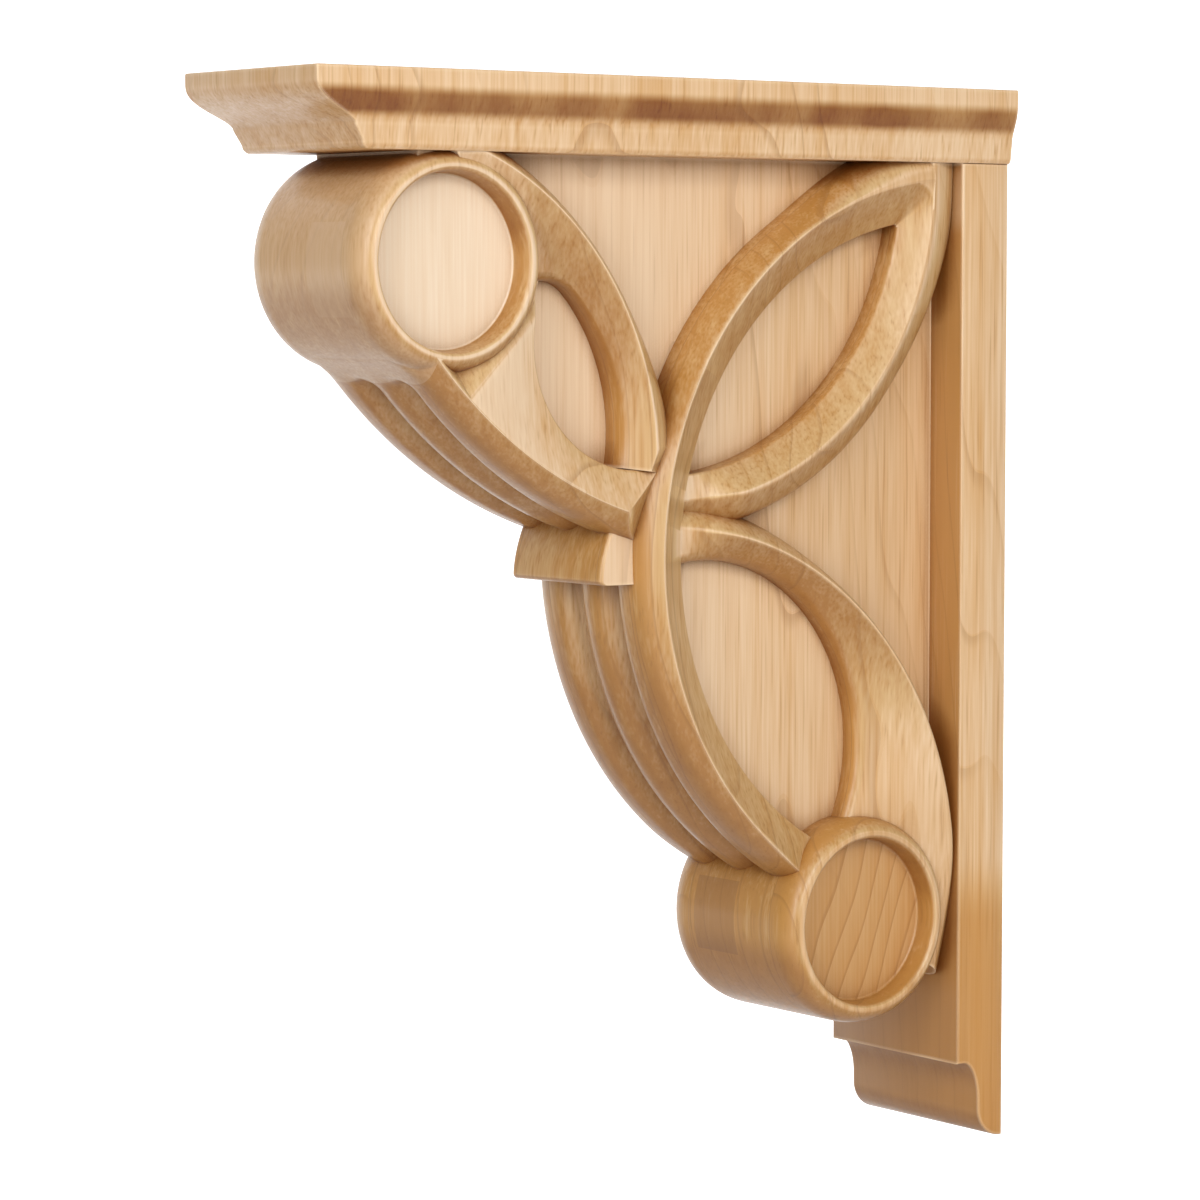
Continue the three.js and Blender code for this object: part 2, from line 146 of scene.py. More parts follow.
# Collar between the two bellies
COLLAR_HALF = 22.4 * MM
COLLAR_TOP = TOP - 128 * MM
COLLAR_BOTTOM = TOP - 149.3 * MM
COLLAR_FRONT_TOP = -147.6 * MM
COLLAR_FRONT_BOTTOM = -153.7 * MM
COLLAR_BACK = -128 * MM
COLLAR_CORNER = 1.5 * MM
COLLAR_LIP = 1.6 * MM
COLLAR_STEPS = 28

# Ribbons of the leaves
FALL_HALF = 23 * MM
SINK_HALF = 26.5 * MM
TUCKED_SPREAD = -3 * MM
RIBBON_STEPS = 96
RIDGE_ROUND = 0.9 * MM
OUTER_STEPS = 12
OUTER_START = 0.06
ROUND_STEPS = 5
FRONT_ARM_LIP = 26.5 * MM
FULL_BOW = 0.95
SHELF_PULL = 3

# Slanting cut and webs that finish the leaves
PARTING_POINT = Vector((30.5 * MM, -141.5 * MM, TOP - 114.6 * MM))
PARTING_FACING = Vector((0.82, 0.49, -0.3))
TIP_HALF = 24 * MM
TIP_INNER_HALF = 22 * MM
TIP_FRONT = -37 * MM
TIP_BOTTOM = TOP - 42 * MM
TIP_SLANT = 6 * MM
TIP_LAP = 0.3 * MM
TIP_CREVICE = 0.7 * MM
TIP_STEPS = 20
HOLLOW_STEPS = 10
HOLLOW_CURVE_STEPS = 12
HOLLOW_LOW = 0.8 * MM
HOLLOW_HIGH = 9 * MM
HOLLOW_BACK = 3 * MM
HOLLOW_DROP = 0.25 * MM
CLEAR = 60 * MM
SHARP = math.radians(40)

# Figure of the wood: how often each pattern repeats in a metre, across the grain and along it
BROAD_SCALE = (18, 18, 5)
MOTTLE_SCALE = (70, 70, 24)
FIBRE_SCALE = (1200, 1200, 30)
STREAK_SCALE = (300, 300, 5)
STREAK_ROUGHNESS = 0.65
CHATTER_SCALE = (100, 100, 55)
SEED_SHIFT = (3.7, 2.1, 5.3)
BOARD_SHIFT = (0.31, 0.23, 0.47)
PORE_EDGE = (0.62, 0.74)

# Year rings round an upright heart outside the block
HEART_X = 75 * MM
HEART_Y = 110 * MM
HEART_SLANT = 0.21
HEART_WANDER = (20 * MM, 80 * MM)
HEART_JUMP = (11 * MM, 60 * MM)
RING_WIDTH = 8.5 * MM
RING_WAVER = 0.3
RING_EDGE = (0.86, 0.97)
RING_END = 0.985
RING_FADE = (0.38, 0.62)
RING_POWER = 3

# Shares of honey wood and lines; of glaze mixed with painted shade in corners, under things, on faces
# turned from the sides and low down; and of wear mixed with painted highlights on edges
WARM_START = -1.55
WARM_SHARES = {"broad": 0.6, "streak": 1.2, "fibre": 1.0, "mottle": 0.3}
WARM_RING = 0.15
WARM_UNDER = 0.3
WARM_LOW = 0.25
WARM_OUTER_BOARD = 0.1
LINE_SHARE = 0.36
PORE_SHARE = 0.25
TURNED_AWAY = (0.04, 0.7)
UNDERSIDE = (0.04, 0.42)
LOW_END = 140 * MM
CORNER_SAMPLES = 4
CORNER_REACH = 9 * MM
CORNER_DEEP = (0.75, 0.35, 0.9)
CORNER_SOFT = (0.6, 0.12, 0.7)
TURNED_AWAY_SHADE = 0.45
GLAZE_AND_SHADE_STREAKS = (0.7, 0.6)
EDGE_REACH = 1.2 * MM
EDGE_WEAR_AND_HIGHLIGHT = (0.12, 0.4)
EDGE_PATCHY = (0.4, 0.9)

# Clear coat and tool marks
ROUGH_START = -0.1
ROUGH_FIBRE = 0.2
ROUGH_CORNER = 0.1
COAT_WEIGHT = 0.35
COAT_ROUGHNESS = 0.22
SPECULAR = 0.45
CHATTER_STRENGTH = 0.4
CHATTER_DEPTH = 0.35 * MM

# Tones of the three pieces, with their shares of painted shade on faces turned from the sides and on
# undersides
CAP_TONE = {"seed": 3, "tint": 0.24, "tint_and_shade": 0.08, "underside_glaze_and_shade": 0.1}
PLATE_TONE = {"seed": 7, "tint": 0.34, "tint_and_shade": 0.75, "underside_glaze_and_shade": 0.25}
CARVED_TONE = {"seed": 11, "tint": 0.18, "tint_and_shade": 0.55, "underside_glaze_and_shade": 0.4, "board_edge": 20 * MM}
SIDE_FACING = (0.5, 0.85)
# Painted shade along the hollow of the cap's ogee on both sides
OGEE_LOW = (TOP - 14.5 * MM, TOP - 11.5 * MM)
OGEE_HIGH = (TOP - 8 * MM, TOP - 4.5 * MM)
OGEE_TINT = (0.5, (0.83, 0.63, 0.1))
OGEE_SHADE = (0.45, 0.9)
# Warmer and darker towards the foot of the back plate
FOOT_FADE = (TOP - 262 * MM, TOP - 238 * MM)
FOOT_HONEY = 0.55
FOOT_TINT = (0.5, (0.98, 0.75, 0.2))
FOOT_DARKENING = 0.2
HEAD_FADE = (TOP - 46 * MM, TOP - 38 * MM)
HEAD_PALE = 0.8

# Tones of the carving, with painted shade on its slopes and steep faces
FLAT_EDGE = (0.01, 0.04)
SLOPE_START = (0.03, 0.1)
SLOPE_END = (0.2, 0.5)
SLOPE_SHADE = (0.42, (0.7, 0.62, 0.22))
STEEP = (0.3, 0.8)
STEEP_SHADE = (0.35, (1, 0.93, 0.35))
FRONT_FADE = (70 * MM, 150 * MM)
FRONT_BARE = 0.4
BACK_FADE = (-90 * MM, -30 * MM)
BACK_TINT = (0.5, (0.8, 0.68, 0.5))
GLUE_LINE_HALF = 0.14 * MM
GLUE_LINE_SHARE = 0.5
DISC_FIGURE_RADIUS = 25.2 * MM
DISC_FIGURE_INNER = 22 * MM
UPPER_DISC_BARE = (0.35, 0.9)
LOWER_DISC_HONEY = 0.85
LOWER_DISC_PALE = (0.75, -0.3, -0.5)
LOWER_DISC_TINT = (0.5, (0.7, 0.48, 0.1))
SLANT_LEAN = 0.37
SLANT_WIDTH = 7.5 * MM
SLANT_WAVER = 0.9
SLANT_LINE = (0.84, 0.95)
SLANT_LINE_SHARE = 0.35
SCROLL_FRONT_BACK = UPPER_SCROLL.y - 6 * MM
SCROLL_FRONT_TURN = (0.1, 0.4)
SCROLL_FRONT_PALE = (0.9, -0.6)
PATCH_FRONT = 24 * MM
UPPER_PATCH = (2, 19.6, 43, 70)
UPPER_PATCH_SHARE = 0.5
LOWER_PATCH = (-17.2, 2.7, 245, 268)
LOWER_PATCH_SHARE = 0.45

# Sockets of the Mix node for colours
MIX_FACTOR = 0
MIX_FIRST = 6
MIX_SECOND = 7
MIX_RESULT = 2
BLACK = (0, 0, 0)
WHITE = (1, 1, 1)

# Stage
CAMERA_PLACE = (1.01698, -0.90137, 0.10178)
CAMERA_TILT = 85.8553
CAMERA_TURN = 53.07
SENSOR_WIDTH = 36
KEY_PLACE = (2.0, -0.6, 0.75)
KEY_SIZE = (1.2, 1.2)
FILL_PLACE = (0.95, -1.8, 0.6)
FILL_SIZE = (0.8, 1.3)
LIGHT_AIM = Vector((0, -0.12, 0))
FLOOR_REACH = 6
FLOOR_BACK = 2.2
WALL_BACK = 3.4
FLOOR_STEPS = 16
FLOOR_GLOW = (0.2, 0.75)
FLOOR_ROUGHNESS = 0.9


def mix(start, end, share):
    return start + (end - start) * share


def ease(low, high, value):
    share = min(max((value - low) / (high - low), 0), 1)
    return share * share * (3 - 2 * share)


def evenly(steps):
    """Even shares of a way, with both of its ends."""
    return [step / steps for step in range(steps + 1)]


def side_spot(y, z):
    """A spot in the side plane, which runs through the middle."""
    return Vector((0, y, z))


def curve(start, control, end, steps):
    """Points of a quadratic curve, with both of its ends."""
    return [start.lerp(control, s).lerp(control.lerp(end, s), s) for s in evenly(steps)]


class Arc:
    """An arc in the side plane, with its axis below the top and its sweep in degrees from +Y to +Z."""

    def __init__(self, y, z, radius, start, end):
        self.axis = side_spot(y * MM, TOP + z * MM)
        self.radius = radius * MM
        self.start = start
        self.end = end

    def degrees(self, along):
        return mix(self.start, self.end, along)

    def spot(self, along, radius=None):
        angle = math.radians(self.degrees(along))
        reach = self.radius if radius is None else radius
        return self.axis + side_spot(math.cos(angle), math.sin(angle)) * reach


class HookedArc(Arc):
    """An arc that turns in tighter beyond an angle, by the square of the angle."""

    def __init__(self, y, z, radius, start, end, bend, pull):
        super().__init__(y, z, radius, start, end)
        self.bend = bend
        self.pull = pull * MM

    def spot(self, along):
        past = max(self.degrees(along) - self.bend, 0)
        return super().spot(along, self.radius - self.pull * past ** 2)


class Belly(Arc):
    """A reeded front: its crest and its edge each change their radius along the arc."""

    def __init__(self, y, z, crest, edge, start, end):
        super().__init__(y, z, crest[0], start, end)
        self.crest = crest
        self.edge = edge

    def crest_radius(self, along):
        return mix(*self.crest, along) * MM

    def edge_radius(self, along):
        return mix(*self.edge, along) * MM


class BellyEdge:
    """The edge of a belly beyond an angle, as the ridge of a ribbon."""

    def __init__(self, belly, start):
        self.belly = belly
        self.first = (start - belly.start) / (belly.end - belly.start)

    def spot(self, along):
        place = mix(self.first, 1, along)
        return self.belly.spot(place, self.belly.edge_radius(place))


UPPER_BELLY = Belly(-102, 8.7, (150.6, 150.6), (146.8, 143.3), 214, 258)
LOWER_BELLY = Belly(-22, -142, (121.7, 116.8), (114.1, 113.8), 150, 243)

STEM_RIDGE = Arc(-22, -142, 114, 94, 240)
STEM_EDGE = Arc(-22, -142, 101.5, 94, 240)
UPPER_ARM_RIDGE = Arc(-127.8, -27.6, 97.8, 9, -88)
UPPER_ARM_EDGE = Arc(-127.8, -27.6, 89.8, 9, -88)
LOWER_ARM_RIDGE = Arc(-132.5, -244, 111.2, 91, -16)
LOWER_ARM_EDGE = Arc(-113, -202, 58.6, 108, -48)
FRONT_LEAF_BACK_RIDGE = Arc(-236.7, -114.1, 98.3, 76, -1)
FRONT_LEAF_BACK_EDGE = HookedArc(-206, -104.2, 59.1, 61, -10, 44, 0.0385)
FRONT_ARM_RIDGE = BellyEdge(UPPER_BELLY, 219)
FRONT_ARM_EDGE = Arc(-142.7, -77.5, 37.7, 151, 280)


@dataclass
class Arm:
    """An arm of a leaf: its ridge and recess edge, the outer slope, and how it begins and ends."""

    ridge: Arc | BellyEdge
    edge: Arc
    spread: float
    bow: float
    lip_round: float
    tip: tuple = None
    fall: tuple = None
    tuck: tuple = None
    shelf: float = None
    sink: tuple = None
    rise: float = None

    def top_at(self, along):
        if self.fall is None:
            return HALF
        full, low = self.fall
        top = mix(FALL_HALF, HALF, ease(0, 1, (along - low) / (full - low)))
        return mix(top, SINK_HALF, ease(*self.sink, along)) if self.sink else top

    def spread_at(self, along):
        spread = self.spread
        if self.tip:
            tip_spread, tip_share = self.tip
            spread = mix(tip_spread, spread, ease(0, tip_share, along))
        return mix(spread, TUCKED_SPREAD, ease(*self.tuck, along)) if self.tuck else spread

    def bow_at(self, along):
        return mix(FULL_BOW, self.bow, ease(0, self.tip[1], along)) if self.tip else self.bow


STEM = Arm(
    STEM_RIDGE, STEM_EDGE, 4 * MM, 0.4, 0.6 * MM,
    tip=(12 * MM, 0.2), fall=(0.925, 1.061), tuck=(0.48, 0.54),
)
UPPER_ARM = Arm(
    UPPER_ARM_RIDGE, UPPER_ARM_EDGE, 9.5 * MM, 0.8, 0.8 * MM,
    tip=(16 * MM, 0.5), fall=(0.87, 0.985), shelf=5.7 * MM,
)
LOWER_ARM = Arm(
    LOWER_ARM_RIDGE, LOWER_ARM_EDGE, 8 * MM, 0.45, 3.5 * MM, fall=(0.15, 0.03), sink=(0.78, 1)
)
FRONT_LEAF_BACK = Arm(FRONT_LEAF_BACK_RIDGE, FRONT_LEAF_BACK_EDGE, 14 * MM, 0.45, 3.5 * MM)
FRONT_LEAF_FRONT = Arm(FRONT_ARM_RIDGE, FRONT_ARM_EDGE, TUCKED_SPREAD, 0, MM, rise=0.16)


def length(name, description, default):
    return bpy.props.FloatProperty(
        name=name, description=description, default=default, min=0, unit="LENGTH", precision=5
    )


def colour(name, description, default):
    return bpy.props.FloatVectorProperty(
        name=name, description=description, default=default, size=3, min=0, max=1, subtype="COLOR"
    )


def fraction(name, description, default):
    return bpy.props.FloatProperty(
        name=name, description=description, default=default, min=0, max=1, subtype="FACTOR"
    )


class CapSettings(bpy.types.PropertyGroup):
    """Sizes of the moulded cap."""

    lip: length("Lip", "Height of the flat lip along the top", 2.6 * MM)
    ogee_end: length("Ogee end", "Depth below the top where the ogee meets the fascia", 16.2 * MM)
    front_overhang: length("Front overhang", "How far the lip stands out in front", 17.2 * MM)
    side_overhang: length("Side overhang", "How far the lip stands out at each side", 3.2 * MM)
    soften: length("Soften", "Rounding of the top edge and the mitres", 0.5 * MM)


class PlateSettings(bpy.types.PropertyGroup):
    """Sizes of the back plate."""

    tail_height: length("Tail height", "Height of the moulded tail at the foot", 24.4 * MM)
    soften: length("Soften", "Rounding of the long edges", 0.5 * MM)


class CarvingSettings(bpy.types.PropertyGroup):
    """Sizes of the carved body."""

    scroll_radius: length("Scroll radius", "Radius of both scrolls", 32.2 * MM)
    scroll_floor: length("Scroll floor", "Distance of a scroll's sunk disc from the middle", 23 * MM)
    groove_depth: length("Groove depth", "Depth of the grooves between the reeds", 5.4 * MM)
    ribbon_lip: length("Ribbon lip", "Distance of a recess edge from the middle", 22.5 * MM)


class WoodSettings(bpy.types.PropertyGroup):
    """Colours of the wood, its glaze, and the painted shade and highlights."""

    pale: colour("Pale wood", "Colour of the light bands", (0.78, 0.55, 0.335))
    honey: colour("Honey wood", "Colour of the warm bands", (0.60, 0.315, 0.10))
    line: colour("Ring line", "Colour of the year rings and pores", (0.36, 0.17, 0.06))
    # The glaze colour also paints the shade in corners, under things and on faces turned from the sides.
    glaze_and_shade: colour("Glaze", "Tint of the brown glaze in the corners", (0.40, 0.24, 0.09))
    bare: colour("Bare wood", "Colour of the scuffed floor of the upper scroll", (0.86, 0.69, 0.51))
    # The rubbed-edge colour is partly wear and partly a painted highlight along the sharp edges.
    wear_and_highlight: colour("Rubbed edge", "Colour of the edges that are rubbed bare", (0.90, 0.69, 0.45))
    glaze_and_shade_amount: fraction("Glaze amount", "How strongly the corners are glazed", 0.95)
    wear_and_highlight_amount: fraction("Rubbed amount", "How strongly the edges are rubbed", 0.7)
    gloss: fraction("Gloss", "Roughness of the clear finish", 0.40)


class StageSettings(bpy.types.PropertyGroup):
    """Floor, lights and camera."""

    floor: colour("Floor", "Colour of the floor and its sweep", (0.82, 0.82, 0.82))
    floor_drop: length("Floor drop", "How far the floor lies below the corbel", 0.25)
    key: bpy.props.FloatProperty(
        name="Key light", description="Power of the large light at the right", default=28, subtype="POWER"
    )
    fill: bpy.props.FloatProperty(
        name="Fill light", description="Power of the light at the front", default=14, subtype="POWER"
    )
    sky: fraction("Sky", "Strength of the even light from all round", 0.2)
    glow: fraction("Floor glow", "Light that the floor adds behind the corbel", 0.9)
    lens: bpy.props.FloatProperty(
        name="Lens", description="Focal length of the camera", default=126.884, unit="CAMERA"
    )


def loft(outlines):
    """A closed bar through a row of outlines with the same corners, drawn out face by face."""
    bar = bmesh.new()
    corner = bar.verts.layers.int.new("corner")
    verts = [bar.verts.new(spot) for spot in outlines[0]]
    for index, vert in enumerate(verts):
        vert[corner] = index
    end = bar.faces.new(verts)
    for outline in outlines[1:]:
        made = bmesh.ops.extrude_face_region(bar, geom=[end, *end.edges, *end.verts])["geom"]
        end = next(item for item in made if isinstance(item, bmesh.types.BMFace))
        for vert in end.verts:
            vert.co = outline[vert[corner]]
    bmesh.ops.recalc_face_normals(bar, faces=bar.faces)
    return bar


def across(outline, half):
    """An outline in the side plane drawn out to both sides of the middle."""
    return loft([[Vector((x, spot.y, spot.z)) for spot in outline] for x in (-half, half)])


def block(low, high):
    shape = bmesh.new()
    bmesh.ops.create_cube(shape, size=1)
    low, high = Vector(low), Vector(high)
    bmesh.ops.scale(shape, verts=shape.verts, vec=high - low)
    bmesh.ops.translate(shape, verts=shape.verts, vec=(low + high) / 2)
    return shape


def both_sides(shape):
    """The shape together with its mirror image on the other side."""
    bmesh.ops.mirror(shape, geom=shape.verts[:] + shape.edges[:] + shape.faces[:], axis="X")
    bmesh.ops.recalc_face_normals(shape, faces=shape.faces)
    return shape


def placed(name, shape):
    mesh = bpy.data.meshes.new(name)
    shape.to_mesh(mesh)
    shape.free()
    thing = bpy.data.objects.new(name, mesh)
    bpy.context.scene.collection.objects.link(thing)
    return thing


def worked(name, shape, tools, operation):
    """A piece with tools joined to it or cut out of it; the tools are used up."""

    def as_object(thing, label):
        return placed(label, thing) if isinstance(thing, bmesh.types.BMesh) else thing

    piece = as_object(shape, name)
    objects = [as_object(tool, f"{name}_tool") for tool in tools]
    for tool in objects:
        step = piece.modifiers.new(tool.name, "BOOLEAN")
        step.operation = operation
        step.solver = "MANIFOLD"
        step.object = tool
    graph = bpy.context.evaluated_depsgraph_get()
    mesh = bpy.data.meshes.new_from_object(piece.evaluated_get(graph))
    piece.modifiers.clear()
    piece.data = mesh
    for tool in objects:
        bpy.data.objects.remove(tool)
    return piece


def cleaned(piece):
    """Welds the mesh, turns its faces outwards and keeps only its real edges sharp."""
    shape = bmesh.new()
    shape.from_mesh(piece.data)
    bmesh.ops.remove_doubles(shape, verts=shape.verts, dist=MERGE)
    bmesh.ops.dissolve_degenerate(shape, edges=shape.edges, dist=MERGE)
    bmesh.ops.recalc_face_normals(shape, faces=shape.faces)
    for face in shape.faces:
        face.smooth = True
    for edge in shape.edges:
        edge.smooth = edge.calc_face_angle(0) < SHARP
    shape.to_mesh(piece.data)
    shape.free()
    return piece


def dressed(piece, node, material):
    """Gives a piece its finish and lets it stand for its solid."""
    piece.data.materials.clear()
    piece.data.materials.append(material)
    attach(piece, "root")
    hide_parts(node)


def cap_overhang(cap, depth):
    if depth < cap.lip:
        return 1
    if depth < cap.ogee_end:
        along = (depth - cap.lip) / (cap.ogee_end - cap.lip)
        return 1 - CAP_OGEE_SHARE * ease(0, 1, along ** CAP_OGEE_LEAN)
    fascia_end = TOP - SOFFIT - CAP_FOOT_ROUND
    return (1 - CAP_OGEE_SHARE) * max(0, (fascia_end - depth) / (fascia_end - cap.ogee_end))


def round_inset(depth, radius):
    """How far a rounded edge falls back at a depth into its rounding."""
    into = min(max(depth, 0), radius)
    return radius - math.sqrt(radius * radius - into * into)


def level_outline(half, front, back, z, rounding):
    """A level outline with square corners at the back and rounded ones in front."""
    outline = [Vector((-half, back, z)), Vector((half, back, z))]
    for way in (1, -1):
        corner = Vector((way * half, front, z))
        first = corner + Vector((0, rounding, 0))
        last = corner - Vector((way * rounding, 0, 0))
        outline += curve(first, corner, last, CORNER_STEPS)[::way]
    return outline


def cap_outline(cap, depth):
    height = TOP - SOFFIT
    overhang = cap_overhang(cap, depth) - 1
    foot = round_inset(min(depth - height + CAP_FOOT_ROUND, CAP_FOOT_ROUND - CAP_FOOT_LAND), CAP_FOOT_ROUND)
    top = round_inset(cap.soften - depth, cap.soften)
    half = CAP_HIGH.x + overhang * cap.side_overhang - foot / 2 - top
    front = CAP_LOW.y - overhang * cap.front_overhang + foot + top
    return level_outline(half, front, 0, TOP - depth, cap.soften)


def cap_shape(cap):
    depths = [share * cap.soften for share in evenly(CAP_EDGE_STEPS)[:-1]]
    depths += [mix(cap.soften, TOP - SOFFIT, share) for share in evenly(CAP_LAYERS)]
    return loft([cap_outline(cap, depth) for depth in depths])


def plate_shape(plate):
    ledge = BOTTOM + plate.tail_height
    cove_front = PLATE_FRONT + TAIL_LEDGE
    cove_back = cove_front + TAIL_COVE_DEPTH
    cove_foot = ledge - TAIL_COVE_HEIGHT
    outline = [side_spot(0, SOFFIT), side_spot(PLATE_FRONT, SOFFIT), side_spot(PLATE_FRONT, ledge)]
    quarter = [math.pi / 2 * share for share in evenly(TAIL_STEPS)]
    for angle in quarter:
        y = cove_front + TAIL_COVE_DEPTH * math.sin(angle)
        outline.append(side_spot(y, cove_foot + TAIL_COVE_HEIGHT * math.cos(angle)))
    for angle in quarter:
        y = cove_back + TAIL_ROUND * (1 - math.cos(angle))
        outline.append(side_spot(y, BOTTOM + TAIL_ROUND * (1 - math.sin(angle))))
    outline.append(side_spot(0, BOTTOM))
    shape = across(outline, HALF)
    ends = [face for face in shape.faces if len(face.verts) > 4]
    rims = list({edge for face in ends for edge in face.edges})
    bmesh.ops.bevel(
        shape, geom=rims, offset=plate.soften, offset_type="OFFSET", segments=3, profile=0.5,
        affect="EDGES", material=-1, clamp_overlap=True,
    )
    return shape


def core_shape():
    outline = [side_spot(PLATE_FRONT, SOFFIT), side_spot(UPPER_SCROLL.y, SOFFIT), UPPER_SCROLL]
    radii = (UPPER_BELLY.crest_radius(0) - CORE_INSET, LOWER_BELLY.crest_radius(1) - CORE_INSET)
    for belly, radius in zip((UPPER_BELLY, LOWER_BELLY), radii):
        for share in evenly(CORE_STEPS):
            outline.append(belly.spot(mix(CORE_ARC_START, CORE_ARC_END, share), radius))
    outline += [LOWER_SCROLL, side_spot(PLATE_FRONT, CORE_BOTTOM)]
    return across(outline, PANEL_HALF)


def scroll_end(carving):
    """One end of a scroll from its middle outwards, as places across and radii."""
    floor = carving.scroll_floor
    wall_foot = Vector((floor, DISC_RADIUS))
    wall_top = Vector((HALF - RIM_INNER_DROP, RIM_INNER))
    wall = (wall_top - wall_foot).normalized()
    points = [Vector((floor, 0))]
    points += curve(
        wall_foot - Vector((0, DISC_FILLET)), wall_foot, wall_foot + wall * DISC_FILLET, ROUND_STEPS
    )
    crest = Vector((HALF, RIM_CREST))
    points += curve(wall_top, Vector((HALF, RIM_INNER + wall.y * RIM_INNER_DROP)), crest, ROUND_STEPS)
    return points + rim_round(carving, 0)[1:]


def rim_round(carving, lap):
    """Outer rounding of a scroll's end from its crest to its full radius, as places across and radii."""
    angles = [math.pi / 2 * share for share in evenly(RIM_STEPS)]
    return [
        Vector((
            HALF - RIM_ROUND * (1 - math.cos(angle)),
            mix(RIM_CREST, carving.scroll_radius, math.sin(angle)) - lap,
        ))
        for angle in angles
    ]


def turned(profile, axis):
    """A profile of places across and radii, spun into a closed round."""
    shape = bmesh.new()
    verts = [shape.verts.new(axis + Vector((x, 0, radius))) for x, radius in profile]
    edges = [shape.edges.new(pair) for pair in zip(verts, verts[1:])]
    bmesh.ops.spin(
        shape, geom=verts + edges, cent=axis, axis=(1, 0, 0), angle=2 * math.pi, steps=SCROLL_SIDES,
        use_merge=True,
    )
    bmesh.ops.remove_doubles(shape, verts=shape.verts, dist=MERGE)
    bmesh.ops.recalc_face_normals(shape, faces=shape.faces)
    return shape


def both_ends(near):
    return [Vector((-x, radius)) for x, radius in near] + near[::-1]


def scroll_shape(carving, axis):
    return turned(both_ends(scroll_end(carving)), axis)


def seat_shape(carving, axis):
    """The place of a scroll, which is cleared of the ribbons that run up to it."""
    reach = HALF + CLEAR
    crest = RIM_CREST - SEAT_LAP
    near = [Vector((reach, 0)), Vector((reach, crest)), *rim_round(carving, SEAT_LAP)]
    return turned(both_ends(near), axis)


def reed_radius(crest, edge, groove_depth, fullness, x, half):
    place = abs(x)
    groove = crest - groove_depth
    if place < GROOVE_PLACE:
        return mix(crest, groove, (place / GROOVE_PLACE) ** 2)
    if place < OUTER_REED_CREST:
        into = (OUTER_REED_CREST - place) / (OUTER_REED_CREST - GROOVE_PLACE)
        return mix(crest, groove, into ** 2)
    out = (place - OUTER_REED_CREST) / (half - BELLY_EDGE - OUTER_REED_CREST)
    return mix(crest, edge, out ** fullness)


def scroll_reach(carving, belly, degrees, x):
    """Distance from a belly's axis to the skin of the upper scroll."""
    into = min(max((abs(x) - HALF + RIM_ROUND) / RIM_ROUND, 0), 1)
    radius = mix(RIM_CREST, carving.scroll_radius, math.sqrt(1 - into * into))
    offset = UPPER_SCROLL - belly.axis
    turn = math.radians(degrees) - math.atan2(offset.z, offset.y)
    beside = offset.length * math.sin(turn)
    if abs(beside) > radius:
        return 0
    return offset.length * math.cos(turn) + math.sqrt(radius ** 2 - beside ** 2)


def upper_belly_radius(carving, along, x):
    """The upper belly sweeps out to the skin of the scroll, and its grooves are born below it."""
    belly = UPPER_BELLY
    degrees = belly.degrees(along)
    depth = carving.groove_depth * ease(*GROOVE_BIRTH, degrees)
    radius = reed_radius(
        belly.crest_radius(along), belly.edge_radius(along), depth, OUTER_REED_FULLNESS, x, HALF
    )
    into = max(0, (THROAT_END - degrees) / THROAT_SWEEP)
    radius += THROAT_RISE * into ** THROAT_CURVE * (1 - ease(*THROAT_FADE, abs(x)))
    if into > 1:
        radius = min(radius, scroll_reach(carving, belly, degrees, x) - SEAT_LAP)
    return radius


def lower_belly_half(along):
    """The lower belly narrows with the stem at its foot."""
    degrees = LOWER_BELLY.degrees(along)
    along_stem = (degrees - STEM_RIDGE.start) / (STEM_RIDGE.end - STEM_RIDGE.start)
    return STEM.top_at(min(1, along_stem))


def lower_belly_radius(carving, along, x):
    """The lower belly grows out of the outer slope of the stem."""
    belly = LOWER_BELLY
    grown = ease(*BELLY_BIRTH, belly.degrees(along))
    crest = belly.crest_radius(along) - (1 - grown) * BELLY_BIRTH_DROP
    fullness = mix(1, OUTER_REED_FULLNESS, grown)
    edge = belly.edge_radius(along)
    return reed_radius(crest, edge, carving.groove_depth, fullness, x, lower_belly_half(along))


def belly_shape(carving, belly, radius_at, half_at):
    outlines = []
    for along in evenly(BELLY_STEPS):
        widest = half_at(along) - BELLY_EDGE
        places = [mix(-widest, widest, share) for share in evenly(BELLY_ACROSS)]
        section = [(x, radius_at(carving, along, x)) for x in places]
        edge = belly.edge_radius(along)
        lips = [(widest - inset, edge - drop) for inset, drop in BELLY_LIP]
        root = (BELLY_ROOT_HALF, edge - BELLY_ROOT)
        section += [*lips, root]
        section += [(-x, radius) for x, radius in (root, *lips[::-1])]
        outlines.append([belly.spot(along, radius) + Vector((x, 0, 0)) for x, radius in section])
    return loft(outlines)


def ribbon_section(breadth, top, lip, lip_round, spread, bow, shelf):
    """Section of a ribbon: recess wall, lip, slope up to the ridge and outer slope down to the panel."""
    recess = Vector((-breadth, lip))
    ridge = Vector((0, top))
    foot = Vector((spread, PANEL_HALF))
    control = ((ridge + foot) / 2).lerp(Vector((spread, top)), bow)
    pull = 1
    if shelf:
        control = Vector((spread, top - shelf))
        pull = SHELF_PULL
    outer = []
    for step in evenly(OUTER_STEPS):
        share = mix(OUTER_START, 1, step)
        weights = ((1 - share) ** 2, 2 * pull * share * (1 - share), share ** 2)
        outer.append((ridge * weights[0] + control * weights[1] + foot * weights[2]) / sum(weights))
    slope = (ridge - recess).normalized()
    section = [Vector((-breadth, ROOT_HALF))]
    section += curve(Vector((-breadth, lip - lip_round)), recess, recess + slope * lip_round, ROUND_STEPS)
    section += curve(ridge - slope * RIDGE_ROUND, ridge, outer[0], ROUND_STEPS)
    section += outer[1:]
    section.append(Vector((spread + (foot.x - outer[-2].x), ROOT_HALF)))
    return section


